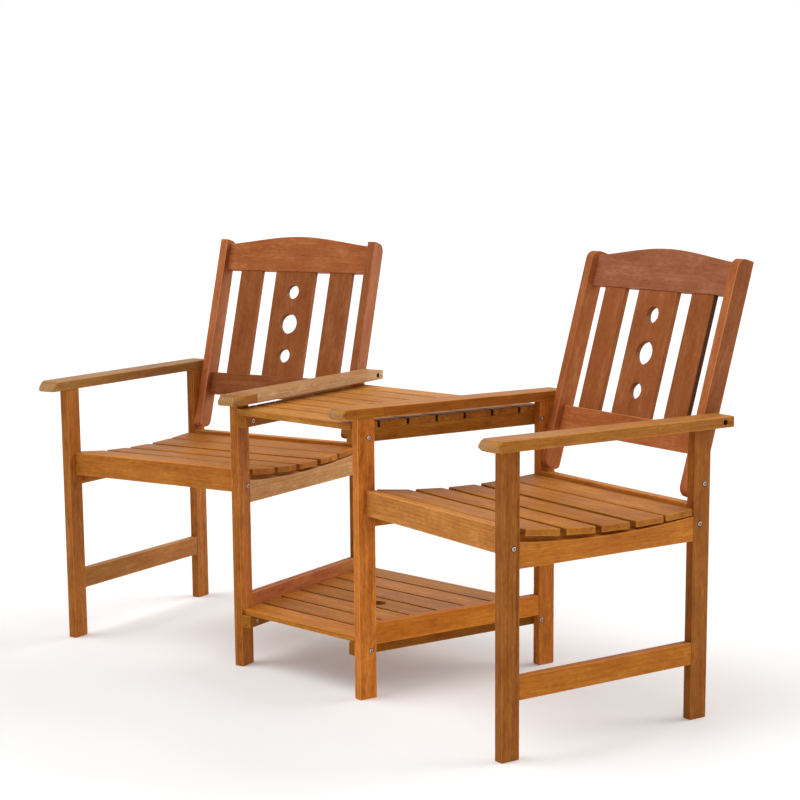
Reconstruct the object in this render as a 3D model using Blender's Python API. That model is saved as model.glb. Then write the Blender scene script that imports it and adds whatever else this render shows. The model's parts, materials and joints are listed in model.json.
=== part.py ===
"""Companion garden bench: two slatted armchairs, turned a little toward each other and joined
by a wedge-shaped table with a shelf below it.

Lengths are in metres, +Z is up, and the sitters look along -Y. Each chair is drawn in a frame
of its own: x runs from the table-side face of its legs to the outer face, y runs back from the
front of its front legs, and z runs up from the ground. The left chair mirrors the right one."""

import math

import bmesh
import bpy
from mathutils import Vector

# Fits between pieces
FIT_GAP = 0.0003
ARRIS = 0.0015
OVERRUN = 0.01
TENON_SHOULDER = 0.005
RAIL_TENON = 0.02
STUB_TENON = 0.012
HOUSING_DEPTH = 0.01

# Place of the chairs on the ground
CHAIR_TURN_DEG = 12.34
CHAIR_OFFSET = 0.1789

# Legs
CHAIR_WIDTH = 0.516
LEG_SPREAD = 0.5134
LEG_WIDTH = 0.022
LEG_DEPTH = 0.042
LEG_HEIGHT = 0.5935

# Rails and stretchers between the legs
FRONT_RAIL_HEIGHT = 0.053
FRONT_RAIL_THICKNESS = 0.0214
FRONT_RAIL_TOP_LIFT = 0.003
REAR_RAIL_HEIGHT = 0.053
REAR_RAIL_THICKNESS = 0.02
REAR_RAIL_SET_BACK = 0.001
REAR_RAIL_CLEARANCE = 0.0018
SIDE_RAIL_HEIGHT = 0.0505
SIDE_RAIL_THICKNESS = 0.02
SIDE_RAIL_DISH = 0.0115
SIDE_RAIL_DROP = 0.0015
OUTER_REVEAL = 0.001
BEARER_THICKNESS = 0.02
BEARER_HEIGHT = 0.036
BEARER_END_GAP = 0.003
GLUE_LAP = 0.001
STRETCHER_HEIGHT = 0.046
STRETCHER_THICKNESS = 0.0195
STRETCHER_BOTTOM = 0.115

# Seat slats, laid over a shallow dish
SEAT_SLATS = 5
SEAT_LOW_HEIGHT = 0.4258
SEAT_LOW_DEPTH = 0.3
SEAT_DISH_RADIUS = 1.9
SEAT_SLAT_THICKNESS = 0.014
SEAT_SLAT_ROUND = 0.0035
SEAT_END_INSET = 0.002
FRONT_SLAT_WIDTH = 0.0815
FRONT_SLAT_GAP = 0.0155
SEAT_GAP = 0.0158
REAR_SEAT_GAP = 0.0065

# Arms
ARM_WIDTH = 0.057
ARM_THICKNESS = 0.022
ARM_FRONT_OVERHANG = 0.045
ARM_REAR_OVERHANG = 0.028
LEFT_NOSE_ROUND = 0.0195
RIGHT_NOSE_ROUND = 0.013
RIGHT_NOSE_UNDER_ROUND = 0.0075
ARM_OUTER_CLIP_WIDTH = 0.022
ARM_OUTER_CLIP_DEPTH = 0.027
ARM_INNER_CLIP_WIDTH = 0.014
ARM_INNER_CLIP_DEPTH = 0.017
ARM_BOLT_FROM_END = 0.024
ARM_BOLT_HOLE_DIAMETER = 0.0065
ARM_COUNTERBORE_DIAMETER = 0.0125
ARM_COUNTERBORE_DEPTH = 0.03

# Back, measured up and through its own leaning frame
BACK_LEAN_DEG = 15.98
BACK_OVER_SEAT = 0.0902
BACK_SET_BACK = 0.0131
STILE_WIDTH = 0.022
STILE_DEPTH = 0.042
STILE_TAIL = 0.064
STILE_TOP = 0.422
STILE_TOP_ROUND = 0.02
STILE_TOP_EASE = 0.003
STILE_TAIL_ROUND = 0.02
STILE_TAIL_EASE = 0.01
BACK_RAIL_SET_BACK = 0.0155
BACK_RAIL_THICKNESS = 0.022
CREST_BOTTOM = 0.3455
CREST_END_HEIGHT = 0.0675
CREST_ARCH = 0.0173
LOWER_RAIL_BOTTOM = 0.022
LOWER_RAIL_HEIGHT = 0.0555
BACK_SLAT_WIDTH = 0.066
BACK_SLAT_THICKNESS = 0.01
BACK_SLAT_SET_BACK = 0.0025
SPLAT_WIDTH = 0.1194
SPLAT_HOLE_DIAMETER = 0.05
SPLAT_HOLE_HEIGHT = 0.212
SPLAT_SMALL_HOLE_DIAMETER = 0.035
SPLAT_SMALL_HOLE_SPACING = 0.0813

# Table between the chairs, and the shelf below it
TABLE_SLATS = 7
TABLE_DROP = 0.01
TABLE_FRONT = -0.003
TABLE_REAR = 0.489
TABLE_SLAT_THICKNESS = 0.014
TABLE_GAP = 0.006
APRON_THICKNESS = 0.022
APRON_HEIGHT = 0.028
APRON_LENGTH = 0.5
SHELF_TOP = 0.131
SHELF_FRONT = 0.007
SHELF_REAR = 0.5035
SHELF_SLAT_THICKNESS = 0.012
SHELF_GAP = 0.006
BATTEN_HEIGHT = 0.0287
BATTEN_END_INSET = 0.0005
PARASOL_HOLE_DIAMETER = 0.038

# Facets
SHARP_DEG = 30
CORNER_STEPS = 4
BOW_STEPS = 16
SMALL_HOLE_STEPS = 16
HOLE_STEPS = 32

# Stain of each group of pieces
STAIN = {
    "leg": (0.360, 0.120, 0.038),
    "rail": (0.450, 0.160, 0.045),
    "seat_slat": (0.500, 0.220, 0.080),
    "arm": (0.330, 0.110, 0.035),
    "back": (0.300, 0.090, 0.032),
    "table": (0.500, 0.200, 0.065),
}
WOOD_ROUGHNESS = 0.55

# Sizes that follow from those above
TURN = math.radians(CHAIR_TURN_DEG)
LEAN = math.radians(BACK_LEAN_DEG)
SHARP = math.radians(SHARP_DEG)
REAR_LEG_FRONT = LEG_SPREAD - LEG_DEPTH
RAIL_START = LEG_WIDTH + FIT_GAP
RAIL_END = CHAIR_WIDTH - RAIL_START
SIDE_START = LEG_DEPTH + FIT_GAP
SIDE_END = REAR_LEG_FRONT - FIT_GAP
SLAT_BED = SEAT_SLAT_THICKNESS + FIT_GAP
STILE_INNER = RAIL_START + STILE_WIDTH
BACK_RAIL_START = STILE_INNER + FIT_GAP
BACK_RAIL_LENGTH = CHAIR_WIDTH - 2 * BACK_RAIL_START
CREST_END_TOP = CREST_BOTTOM + CREST_END_HEIGHT
LOWER_RAIL_TOP = LOWER_RAIL_BOTTOM + LOWER_RAIL_HEIGHT
BACK_HEIGHT = SEAT_LOW_HEIGHT + BACK_OVER_SEAT
BACK_OPENING = CREST_BOTTOM - LOWER_RAIL_TOP
BACK_GAP = (BACK_RAIL_LENGTH - 2 * BACK_SLAT_WIDTH - SPLAT_WIDTH) / 4
REAR_RAIL_TOP = (
    BACK_HEIGHT - STILE_TAIL * math.cos(LEAN) - STILE_DEPTH * math.sin(LEAN) - REAR_RAIL_CLEARANCE
)
TABLE_TOP = LEG_HEIGHT - TABLE_DROP
APRON_TOP = TABLE_TOP - TABLE_SLAT_THICKNESS - FIT_GAP
SHELF_UNDERSIDE = SHELF_TOP - SHELF_SLAT_THICKNESS
PARASOL_BACK = (TABLE_FRONT + TABLE_REAR + SHELF_FRONT + SHELF_REAR) / 4


def rounded(points, radii):
    """Closed outline through the points, with an arc of its own radius at each corner."""
    corners = [Vector(point) for point in points]
    outline = []
    for index, corner in enumerate(corners):
        radius = radii[index]
        if radius == 0:
            outline.append(corner)
            continue
        back = (corners[index - 1] - corner).normalized()
        ahead = (corners[(index + 1) % len(corners)] - corner).normalized()
        half = back.angle(ahead) / 2
        centre = corner + (back + ahead).normalized() * radius / math.sin(half)
        start = corner + back * radius / math.tan(half) - centre
        end = corner + ahead * radius / math.tan(half) - centre
        first = math.atan2(start.y, start.x)
        sweep = (math.atan2(end.y, end.x) - first + math.pi) % math.tau - math.pi
        for step in range(CORNER_STEPS + 1):
            angle = first + sweep * step / CORNER_STEPS
            outline.append(centre + radius * Vector((math.cos(angle), math.sin(angle))))
    return outline


def bow(low, high, level, rise):
    """Points along a shallow round arc from low to high, whose middle lies rise above level."""
    half = (high - low) / 2
    radius = (half * half + rise * rise) / (2 * rise)
    points = []
    for step in range(BOW_STEPS + 1):
        along = half * (2 * step / BOW_STEPS - 1)
        drop = radius - math.copysign(math.sqrt(radius * radius - along * along), radius)
        points.append((low + half + along, level + rise - drop))
    return points


def extruded(outline, axis, low, high):
    """Solid whose outline lies across the axis and is carried along it from low to high."""
    order = {"X": (2, 0, 1), "Y": (0, 2, 1), "Z": (0, 1, 2)}[axis]
    mesh = bmesh.new()
    corners = [(a, b, low) for a, b in outline]
    base = mesh.faces.new([mesh.verts.new([corner[i] for i in order]) for corner in corners])
    grown = bmesh.ops.extrude_face_region(mesh, geom=[base])["geom"]
    travel = Vector([(0, 0, high - low)[i] for i in order])
    moved = [item for item in grown if isinstance(item, bmesh.types.BMVert)]
    bmesh.ops.translate(mesh, vec=travel, verts=moved)
    bmesh.ops.recalc_face_normals(mesh, faces=mesh.faces)
    return mesh


def box(low, high):
    """Box between two opposite corners."""
    outline = [(low[0], low[1]), (high[0], low[1]), (high[0], high[1]), (low[0], high[1])]
    return extruded(outline, "Z", low[2], high[2])


def cylinder(centre, axis, low, high, diameter, steps):
    """Round bar along the axis, through a centre given across it."""
    radius = diameter / 2
    outline = []
    for step in range(steps):
        angle = math.tau * (step + 0.5) / steps
        outline.append((centre[0] + radius * math.cos(angle), centre[1] + radius * math.sin(angle)))
    return extruded(outline, axis, low, high)


def eased(mesh):
    """The same solid with its sharp edges taken off by the arris."""
    sharp = [edge for edge in mesh.edges if edge.calc_face_angle() > SHARP]
    bmesh.ops.bevel(mesh, geom=sharp, offset=ARRIS, segments=1, affect="EDGES", clamp_overlap=True)
    return mesh


def clip(mesh, point, normal):
    """Cut away what lies beyond the plane through the point, and close the cut."""
    everything = mesh.verts[:] + mesh.edges[:] + mesh.faces[:]
    bmesh.ops.bisect_plane(mesh, geom=everything, plane_co=point, plane_no=normal, clear_outer=True)
    bmesh.ops.holes_fill(mesh, edges=[edge for edge in mesh.edges if edge.is_boundary])


def add_tenon(mesh, direction, length):
    """Step the end face in that direction in by the shoulder and carry it on by the length."""
    way = Vector(direction)
    ends = [face for face in mesh.faces if face.normal.dot(way) > math.cos(SHARP)]
    end = max(ends, key=lambda face: face.calc_center_median().dot(way))
    step = TENON_SHOULDER - ARRIS
    bmesh.ops.inset_individual(mesh, faces=[end], thickness=step, use_even_offset=True)
    tip = bmesh.ops.extrude_discrete_faces(mesh, faces=[end])["faces"][0]
    bmesh.ops.translate(mesh, vec=way * length, verts=tip.verts)


def socket(low, high, open_axis, open_side):
    """Cutter for the mortise of a tenon that fills the box: clear all round, open on one side."""
    low = [value - FIT_GAP for value in low]
    high = [value + FIT_GAP for value in high]
    if open_side > 0:
        high[open_axis] += OVERRUN
    else:
        low[open_axis] -= OVERRUN
    return box(low, high)


def stained(name, group):
    """Wood material of one piece, in the stain of its group."""
    material = bpy.data.materials.new(name)
    material.use_nodes = True
    shader = material.node_tree.nodes["Principled BSDF"]
    shader.inputs["Base Color"].default_value = (*STAIN[group], 1)
    shader.inputs["Roughness"].default_value = WOOD_ROUGHNESS
    shader.inputs["Metallic"].default_value = 0
    material.diffuse_color = (*STAIN[group], 1)
    return material


def add_object(name, mesh, parent, hand):
    """Object with the mesh, mirrored across x where the hand is -1."""
    if hand < 0:
        bmesh.ops.scale(mesh, vec=(-1, 1, 1), verts=mesh.verts)
        bmesh.ops.reverse_faces(mesh, faces=mesh.faces)
    data = bpy.data.meshes.new(name)
    mesh.to_mesh(data)
    mesh.free()
    made = bpy.data.objects.new(name, data)
    made.parent = parent
    bpy.context.scene.collection.objects.link(made)
    return made


def add_frame(name, parent, location, rotation):
    """Empty that carries the pieces placed in its own axes."""
    frame = bpy.data.objects.new(name, None)
    frame.parent = parent
    frame.location = location
    frame.rotation_euler = rotation
    bpy.context.scene.collection.objects.link(frame)
    return frame


def add_piece(name, group, mesh, parent, location, hand=1, tilt=0):
    """Named piece of wood at its place in its frame."""
    piece = add_object(name, mesh, parent, hand)
    piece.location = location
    piece.rotation_euler = (tilt, 0, 0)
    piece.data.materials.append(stained(name, group))
    return piece


def combine(piece, name, mesh, operation="DIFFERENCE", hand=1):
    """Cut the piece with a second solid drawn in the piece's own axes, or join the two."""
    tool = add_object(f"{piece.name}_{name}", mesh, piece, hand)
    tool.hide_render = True
    tool.display_type = "WIRE"
    modifier = piece.modifiers.new(name, "BOOLEAN")
    modifier.operation = operation
    modifier.solver = "EXACT"
    modifier.object = tool


def seat_height(depth):
    """Height of the dished seat at a depth behind the front of the legs."""
    return SEAT_LOW_HEIGHT + (depth - SEAT_LOW_DEPTH) ** 2 / (2 * SEAT_DISH_RADIUS)


def seat_slope(depth):
    """Rise of the dished seat for each metre further back."""
    return (depth - SEAT_LOW_DEPTH) / SEAT_DISH_RADIUS


def seat_slat_spans():
    """Front and rear edge of each seat slat, the first one behind the front rail."""
    gaps = [SEAT_GAP] * (SEAT_SLATS - 2) + [REAR_SEAT_GAP]
    front = LEG_DEPTH + FRONT_SLAT_GAP
    rear = SIDE_END - SEAT_SLAT_THICKNESS * seat_slope(SIDE_END)
    plain = (rear - front - FRONT_SLAT_WIDTH - sum(gaps)) / (SEAT_SLATS - 1)
    spans = [(front, front + FRONT_SLAT_WIDTH)]
    for gap in gaps:
        start = spans[-1][1] + gap
        spans.append((start, start + plain))
    return spans


def slat_bed_height(span, depth):
    """Height, at a depth, of the flat that carries the slat with that span."""
    centre = sum(span) / 2
    slope = seat_slope(centre)
    return seat_height(centre) + (depth - centre) * slope - SLAT_BED * math.hypot(1, slope)


def bench_point(side, across, back):
    """Point of a chair's plan in the plan of the whole bench."""
    x = CHAIR_OFFSET + across * math.cos(TURN) + back * math.sin(TURN)
    return (side * x, back * math.cos(TURN) - across * math.sin(TURN))


def table_half_width(back):
    """Half the room between the two chairs at that distance back."""
    return CHAIR_OFFSET - FIT_GAP / math.cos(TURN) + back * math.tan(TURN)


SEAT_SPANS = seat_slat_spans()
SIDE_RAIL_TOP = slat_bed_height(SEAT_SPANS[-1], SIDE_END) - SIDE_RAIL_DROP
SIDE_RAIL_BOTTOM = SIDE_RAIL_TOP - SIDE_RAIL_HEIGHT
FRONT_RAIL_TOP = seat_height(SEAT_SPANS[0][0]) + FRONT_RAIL_TOP_LIFT


class Chair:
    """One chair of the pair: side is 1 on the right and -1 on the left."""

    def __init__(self, name, side, bench):
        self.name = name
        self.side = side
        self.frame = add_frame(f"{name}_chair", bench, (side * CHAIR_OFFSET, 0, 0), (0, 0, -side * TURN))
        place = (0, REAR_LEG_FRONT + BACK_SET_BACK, BACK_HEIGHT)
        self.back = add_frame(f"{name}_back", self.frame, place, (-LEAN, 0, 0))

    def piece(self, name, group, mesh, location, hand=1, tilt=0, parent=None):
        """Piece of this chair, mirrored with the chair. A hand of -1 turns its own left and right."""
        x, y, z = location
        place = (self.side * x, y, z)
        parent = parent or self.frame
        return add_piece(f"{self.name}_{name}", group, mesh, parent, place, self.side * hand, tilt)

    def cut(self, piece, name, mesh, hand=1):
        """Cut in one of this chair's pieces."""
        combine(piece, name, mesh, hand=self.side * hand)

    def add_legs(self, row, across, hand):
        """Front and rear leg of one side frame, with a stub tenon for the arm at the top."""
        rail = SIDE_RAIL_THICKNESS, SIDE_RAIL_BOTTOM, SIDE_RAIL_TOP
        stretcher = STRETCHER_THICKNESS, STRETCHER_BOTTOM, STRETCHER_BOTTOM + STRETCHER_HEIGHT
        for end, back in (("front", 0), ("rear", REAR_LEG_FRONT)):
            mesh = eased(box((0, 0, 0), (LEG_WIDTH, LEG_DEPTH, LEG_HEIGHT)))
            add_tenon(mesh, (0, 0, 1), STUB_TENON)
            leg = self.piece(f"{row}_{end}_leg", "leg", mesh, (across, back, 0), hand)
            if end == "front":
                start, stop, side = LEG_DEPTH + FIT_GAP - RAIL_TENON, LEG_DEPTH, 1
            else:
                start, stop, side = 0, RAIL_TENON - FIT_GAP, -1
            for name, (thickness, bottom, top) in (("rail", rail), ("stretcher", stretcher)):
                low = (OUTER_REVEAL + TENON_SHOULDER, start, bottom + TENON_SHOULDER)
                high = (OUTER_REVEAL + thickness - TENON_SHOULDER, stop, top - TENON_SHOULDER)
                self.cut(leg, f"{name}_mortise", socket(low, high, 1, side), hand)

    def add_side_rail(self, row, across, hand):
        """Side rail with a dished top edge, glued to the stepped bearer that carries the slats."""
        top = bow(SIDE_START, SIDE_END, SIDE_RAIL_TOP, -SIDE_RAIL_DISH)
        outline = [(SIDE_START, SIDE_RAIL_BOTTOM), (SIDE_END, SIDE_RAIL_BOTTOM), *reversed(top)]
        mesh = eased(extruded(outline, "X", 0, SIDE_RAIL_THICKNESS))
        add_tenon(mesh, (0, -1, 0), RAIL_TENON)
        add_tenon(mesh, (0, 1, 0), RAIL_TENON)
        rail = self.piece(f"{row}_side_rail", "rail", mesh, (across, 0, 0), hand)
        front = SIDE_START + BEARER_END_GAP
        rear = SIDE_END - BEARER_END_GAP
        edges = [depth for span in SEAT_SPANS for depth in span]
        edges[0] = front
        edges[-1] = rear
        bed = []
        for index, depth in enumerate(edges):
            bed.append((depth, slat_bed_height(SEAT_SPANS[index // 2], depth)))
        bottom = min(height for depth, height in bed) - BEARER_HEIGHT
        start = SIDE_RAIL_THICKNESS - GLUE_LAP
        outline = [(front, bottom), (rear, bottom), *reversed(bed)]
        bearer = extruded(outline, "X", start, start + BEARER_THICKNESS)
        combine(rail, "bearer", bearer, "UNION", self.side * hand)

    def add_stretcher(self, row, across, hand):
        """Low stretcher from the front leg to the rear leg."""
        high = (STRETCHER_THICKNESS, SIDE_END, STRETCHER_BOTTOM + STRETCHER_HEIGHT)
        mesh = eased(box((0, SIDE_START, STRETCHER_BOTTOM), high))
        add_tenon(mesh, (0, -1, 0), RAIL_TENON)
        add_tenon(mesh, (0, 1, 0), RAIL_TENON)
        self.piece(f"{row}_stretcher", "rail", mesh, (across, 0, 0), hand)

    def add_arm(self, row, across, hand):
        """Arm with a rounded nose and clipped front corners, bolted through to the back stile."""
        length = ARM_FRONT_OVERHANG + LEG_SPREAD + ARM_REAR_OVERHANG
        profile = [(0, 0), (length, 0), (length, ARM_THICKNESS), (0, ARM_THICKNESS)]
        nose = (RIGHT_NOSE_UNDER_ROUND, RIGHT_NOSE_ROUND) if self.side > 0 else (0, LEFT_NOSE_ROUND)
        outline = rounded(profile, (nose[0], 0, 0, nose[1]))
        mesh = extruded(outline, "X", 0, ARM_WIDTH)
        clip(mesh, (0, ARM_INNER_CLIP_DEPTH, 0), (-ARM_INNER_CLIP_DEPTH, -ARM_INNER_CLIP_WIDTH, 0))
        corner = (ARM_WIDTH, ARM_OUTER_CLIP_DEPTH, 0)
        clip(mesh, corner, (ARM_OUTER_CLIP_DEPTH, -ARM_OUTER_CLIP_WIDTH, 0))
        place = (across, -ARM_FRONT_OVERHANG, LEG_HEIGHT + FIT_GAP)
        arm = self.piece(f"{row}_arm", "arm", eased(mesh), place, hand)
        for end, back in (("front", ARM_FRONT_OVERHANG), ("rear", ARM_FRONT_OVERHANG + REAR_LEG_FRONT)):
            low = (TENON_SHOULDER, back + TENON_SHOULDER, 0)
            high = (LEG_WIDTH - TENON_SHOULDER, back + LEG_DEPTH - TENON_SHOULDER, STUB_TENON - FIT_GAP)
            self.cut(arm, f"{end}_mortise", socket(low, high, 2, -1), hand)
        bolt = (length - ARM_BOLT_FROM_END, ARM_THICKNESS / 2)
        holes = (
            ("counterbore", ARM_WIDTH - ARM_COUNTERBORE_DEPTH, ARM_COUNTERBORE_DIAMETER),
            ("bolt_hole", -OVERRUN, ARM_BOLT_HOLE_DIAMETER),
        )
        for name, start, diameter in holes:
            drill = cylinder(bolt, "X", start, ARM_WIDTH + OVERRUN, diameter, SMALL_HOLE_STEPS)
            self.cut(arm, name, drill, hand)

    def add_cross_rails(self):
        """Front and rear rail, bolted between the two side frames."""
        front = LEG_DEPTH - FRONT_RAIL_THICKNESS
        low = (0, 0, -FRONT_RAIL_HEIGHT)
        mesh = eased(box(low, (RAIL_END - RAIL_START, FRONT_RAIL_THICKNESS, 0)))
        self.piece("front_rail", "rail", mesh, (RAIL_START, front, FRONT_RAIL_TOP))
        low = (0, 0, -REAR_RAIL_HEIGHT)
        mesh = eased(box(low, (RAIL_END - RAIL_START, REAR_RAIL_THICKNESS, 0)))
        place = (RAIL_START, REAR_LEG_FRONT + REAR_RAIL_SET_BACK, REAR_RAIL_TOP)
        self.piece("rear_rail", "rail", mesh, place)

    def add_seat(self):
        """Seat slats with rounded edges, each tilted to lie along the dish."""
        length = CHAIR_WIDTH - 2 * SEAT_END_INSET
        for number, span in enumerate(SEAT_SPANS, 1):
            half = (span[1] - span[0]) / 2
            centre = sum(span) / 2
            profile = [(-half, -SEAT_SLAT_THICKNESS), (half, -SEAT_SLAT_THICKNESS), (half, 0), (-half, 0)]
            mesh = extruded(rounded(profile, [SEAT_SLAT_ROUND] * len(profile)), "X", 0, length)
            place = (SEAT_END_INSET, centre, seat_height(centre))
            tilt = math.atan(seat_slope(centre))
            self.piece(f"seat_slat_{number}", "seat_slat", eased(mesh), place, tilt=tilt)

    def add_stile(self, row, across, hand):
        """Upright of the back, with rounded ends and mortises for the two back rails.

        Its well-rounded edge is the rear one on the left chair and the front one on the right."""
        tail = (STILE_TAIL_EASE, STILE_TAIL_ROUND)
        top = (STILE_TOP_ROUND, STILE_TOP_EASE)
        if self.side > 0:
            tail, top = tail[::-1], top[::-1]
        corners = [(0, -STILE_TAIL), (STILE_DEPTH, -STILE_TAIL), (STILE_DEPTH, STILE_TOP), (0, STILE_TOP)]
        outline = rounded(corners, tail + top)
        mesh = eased(extruded(outline, "X", 0, STILE_WIDTH))
        stile = self.piece(f"{row}_back_stile", "back", mesh, (across, 0, 0), hand, parent=self.back)
        tenon_front = BACK_RAIL_SET_BACK + TENON_SHOULDER
        tenon_rear = BACK_RAIL_SET_BACK + BACK_RAIL_THICKNESS - TENON_SHOULDER
        rails = ("crest", CREST_BOTTOM, CREST_END_TOP), ("lower_rail", LOWER_RAIL_BOTTOM, LOWER_RAIL_TOP)
        for name, bottom, top in rails:
            low = (STILE_WIDTH + FIT_GAP - STUB_TENON, tenon_front, bottom + TENON_SHOULDER)
            high = (STILE_WIDTH, tenon_rear, top - TENON_SHOULDER)
            self.cut(stile, f"{name}_mortise", socket(low, high, 0, 1), hand)

    def add_back_rails(self, slats):
        """Arched crest rail and straight lower rail, housed for the slats that stand between them."""
        arch = bow(0, BACK_RAIL_LENGTH, CREST_END_TOP, CREST_ARCH)
        crest = [(0, CREST_BOTTOM), (BACK_RAIL_LENGTH, CREST_BOTTOM), *reversed(arch)]
        lower = [
            (0, LOWER_RAIL_BOTTOM),
            (BACK_RAIL_LENGTH, LOWER_RAIL_BOTTOM),
            (BACK_RAIL_LENGTH, LOWER_RAIL_TOP),
            (0, LOWER_RAIL_TOP),
        ]
        seats = {
            "crest_rail": (crest, CREST_BOTTOM, CREST_BOTTOM + HOUSING_DEPTH - FIT_GAP, -1),
            "lower_back_rail": (lower, LOWER_RAIL_TOP - HOUSING_DEPTH + FIT_GAP, LOWER_RAIL_TOP, 1),
        }
        for name, (outline, start, stop, open_side) in seats.items():
            mesh = eased(extruded(outline, "Y", 0, BACK_RAIL_THICKNESS))
            add_tenon(mesh, (-1, 0, 0), STUB_TENON)
            add_tenon(mesh, (1, 0, 0), STUB_TENON)
            place = (BACK_RAIL_START, BACK_RAIL_SET_BACK, 0)
            rail = self.piece(name, "back", mesh, place, parent=self.back)
            for slat, across, width in slats:
                low = (across, BACK_SLAT_SET_BACK, start)
                high = (across + width, BACK_SLAT_SET_BACK + BACK_SLAT_THICKNESS, stop)
                self.cut(rail, f"{slat}_housing", socket(low, high, 2, open_side))

    def add_back_slats(self, slats):
        """Two plain back slats and the wide middle splat with its three round holes."""
        stretch = BACK_OPENING + 2 * HOUSING_DEPTH - 2 * FIT_GAP
        for name, across, width in slats:
            mesh = eased(box((0, 0, 0), (width, BACK_SLAT_THICKNESS, stretch)))
            bottom = LOWER_RAIL_TOP - HOUSING_DEPTH + FIT_GAP
            place = (BACK_RAIL_START + across, BACK_RAIL_SET_BACK + BACK_SLAT_SET_BACK, bottom)
            slat = self.piece(name, "back", mesh, place, parent=self.back)
            if name != "splat":
                continue
            middle = SPLAT_HOLE_HEIGHT - bottom
            holes = (
                ("middle_hole", middle, SPLAT_HOLE_DIAMETER),
                ("upper_hole", middle + SPLAT_SMALL_HOLE_SPACING, SPLAT_SMALL_HOLE_DIAMETER),
                ("lower_hole", middle - SPLAT_SMALL_HOLE_SPACING, SPLAT_SMALL_HOLE_DIAMETER),
            )
            for hole, height, diameter in holes:
                centre = (width / 2, height)
                drill = cylinder(centre, "Y", -OVERRUN, BACK_SLAT_THICKNESS + OVERRUN, diameter, HOLE_STEPS)
                self.cut(slat, hole, drill)

    def build(self):
        """All pieces of the chair."""
        for row, across, hand in (("inner", 0, 1), ("outer", CHAIR_WIDTH, -1)):
            self.add_legs(row, across, hand)
            self.add_side_rail(row, across + hand * OUTER_REVEAL, hand)
            self.add_stretcher(row, across + hand * OUTER_REVEAL, hand)
            self.add_arm(row, across + hand * LEG_WIDTH, -hand)
            self.add_stile(row, across + hand * RAIL_START, hand)
        self.add_cross_rails()
        self.add_seat()
        slats = (
            ("inner_back_slat", BACK_GAP, BACK_SLAT_WIDTH),
            ("splat", 2 * BACK_GAP + BACK_SLAT_WIDTH, SPLAT_WIDTH),
            ("outer_back_slat", BACK_RAIL_LENGTH - BACK_GAP - BACK_SLAT_WIDTH, BACK_SLAT_WIDTH),
        )
        self.add_back_rails(slats)
        self.add_back_slats(slats)

    def add_apron(self):
        """Bearer of the tabletop along this chair's inner legs."""
        mesh = eased(box((0, 0, -APRON_HEIGHT), (APRON_THICKNESS, APRON_LENGTH, 0)))
        place = (self.side * -FIT_GAP, 0, APRON_TOP)
        add_piece(f"table_apron_{self.name}", "table", mesh, self.frame, place, -self.side)


def wedge_slats(front, rear, gap):
    """Outlines of the slats that fill the wedge between the chairs, from front to rear."""
    width = (rear - front - gap * (TABLE_SLATS - 1)) / TABLE_SLATS
    outlines = []
    for index in range(TABLE_SLATS):
        start = front + index * (width + gap)
        near, far = table_half_width(start), table_half_width(start + width)
        outlines.append([(-near, start), (near, start), (far, start + width), (-far, start + width)])
    return outlines


def parasol_drill(thickness):
    """Cutter for the parasol pole's hole in a slat whose underside is at zero."""
    centre = (0, PARASOL_BACK)
    return cylinder(centre, "Z", -OVERRUN, thickness + OVERRUN, PARASOL_HOLE_DIAMETER, HOLE_STEPS)


def add_tabletop(bench):
    """Slats of the tabletop, the middle one with the hole for a parasol pole."""
    for number, outline in enumerate(wedge_slats(TABLE_FRONT, TABLE_REAR, TABLE_GAP), 1):
        mesh = eased(extruded(outline, "Z", 0, TABLE_SLAT_THICKNESS))
        place = (0, 0, TABLE_TOP - TABLE_SLAT_THICKNESS)
        slat = add_piece(f"table_slat_{number}", "table", mesh, bench, place)
        if number == (TABLE_SLATS + 1) // 2:
            combine(slat, "parasol_hole", parasol_drill(TABLE_SLAT_THICKNESS))


def add_shelf(bench):
    """Shelf below the table: slats fixed for good on two battens, so one panel."""
    panel = bmesh.new()
    for outline in wedge_slats(SHELF_FRONT, SHELF_REAR, SHELF_GAP):
        add_shell(panel, eased(extruded(outline, "Z", 0, SHELF_SLAT_THICKNESS)))
    shelf = add_piece("shelf_panel", "table", panel, bench, (0, 0, SHELF_UNDERSIDE))
    battens = bmesh.new()
    inner = -FIT_GAP - BATTEN_END_INSET
    outer = inner - APRON_THICKNESS
    for side in (-1, 1):
        plan = [(inner, 0), (inner, LEG_SPREAD), (outer, LEG_SPREAD), (outer, 0)]
        outline = [bench_point(side, across, back) for across, back in plan]
        add_shell(battens, extruded(outline, "Z", -BATTEN_HEIGHT, GLUE_LAP))
    combine(shelf, "battens", battens, "UNION")
    combine(shelf, "parasol_hole", parasol_drill(SHELF_SLAT_THICKNESS))


def add_shell(target, shell):
    """Copy one closed shell into a mesh that holds several."""
    data = bpy.data.meshes.new("shell")
    shell.to_mesh(data)
    shell.free()
    target.from_mesh(data)
    bpy.data.meshes.remove(data)


def centre_on_ground(bench):
    """Move the bench so that the origin is on the ground under the middle of its whole depth."""
    bpy.context.view_layer.update()
    depths = []
    for piece in bpy.data.objects:
        if piece.type == "MESH" and not piece.hide_render:
            depths.extend((piece.matrix_world @ vertex.co).y for vertex in piece.data.vertices)
    bench.location.y = -(min(depths) + max(depths)) / 2


def main():
    for old in list(bpy.data.objects):
        bpy.data.objects.remove(old)
    bench = add_frame("bench", None, (0, 0, 0), (0, 0, 0))
    for name, side in (("left", -1), ("right", 1)):
        chair = Chair(name, side, bench)
        chair.build()
        chair.add_apron()
    add_tabletop(bench)
    add_shelf(bench)
    centre_on_ground(bench)


main()
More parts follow.
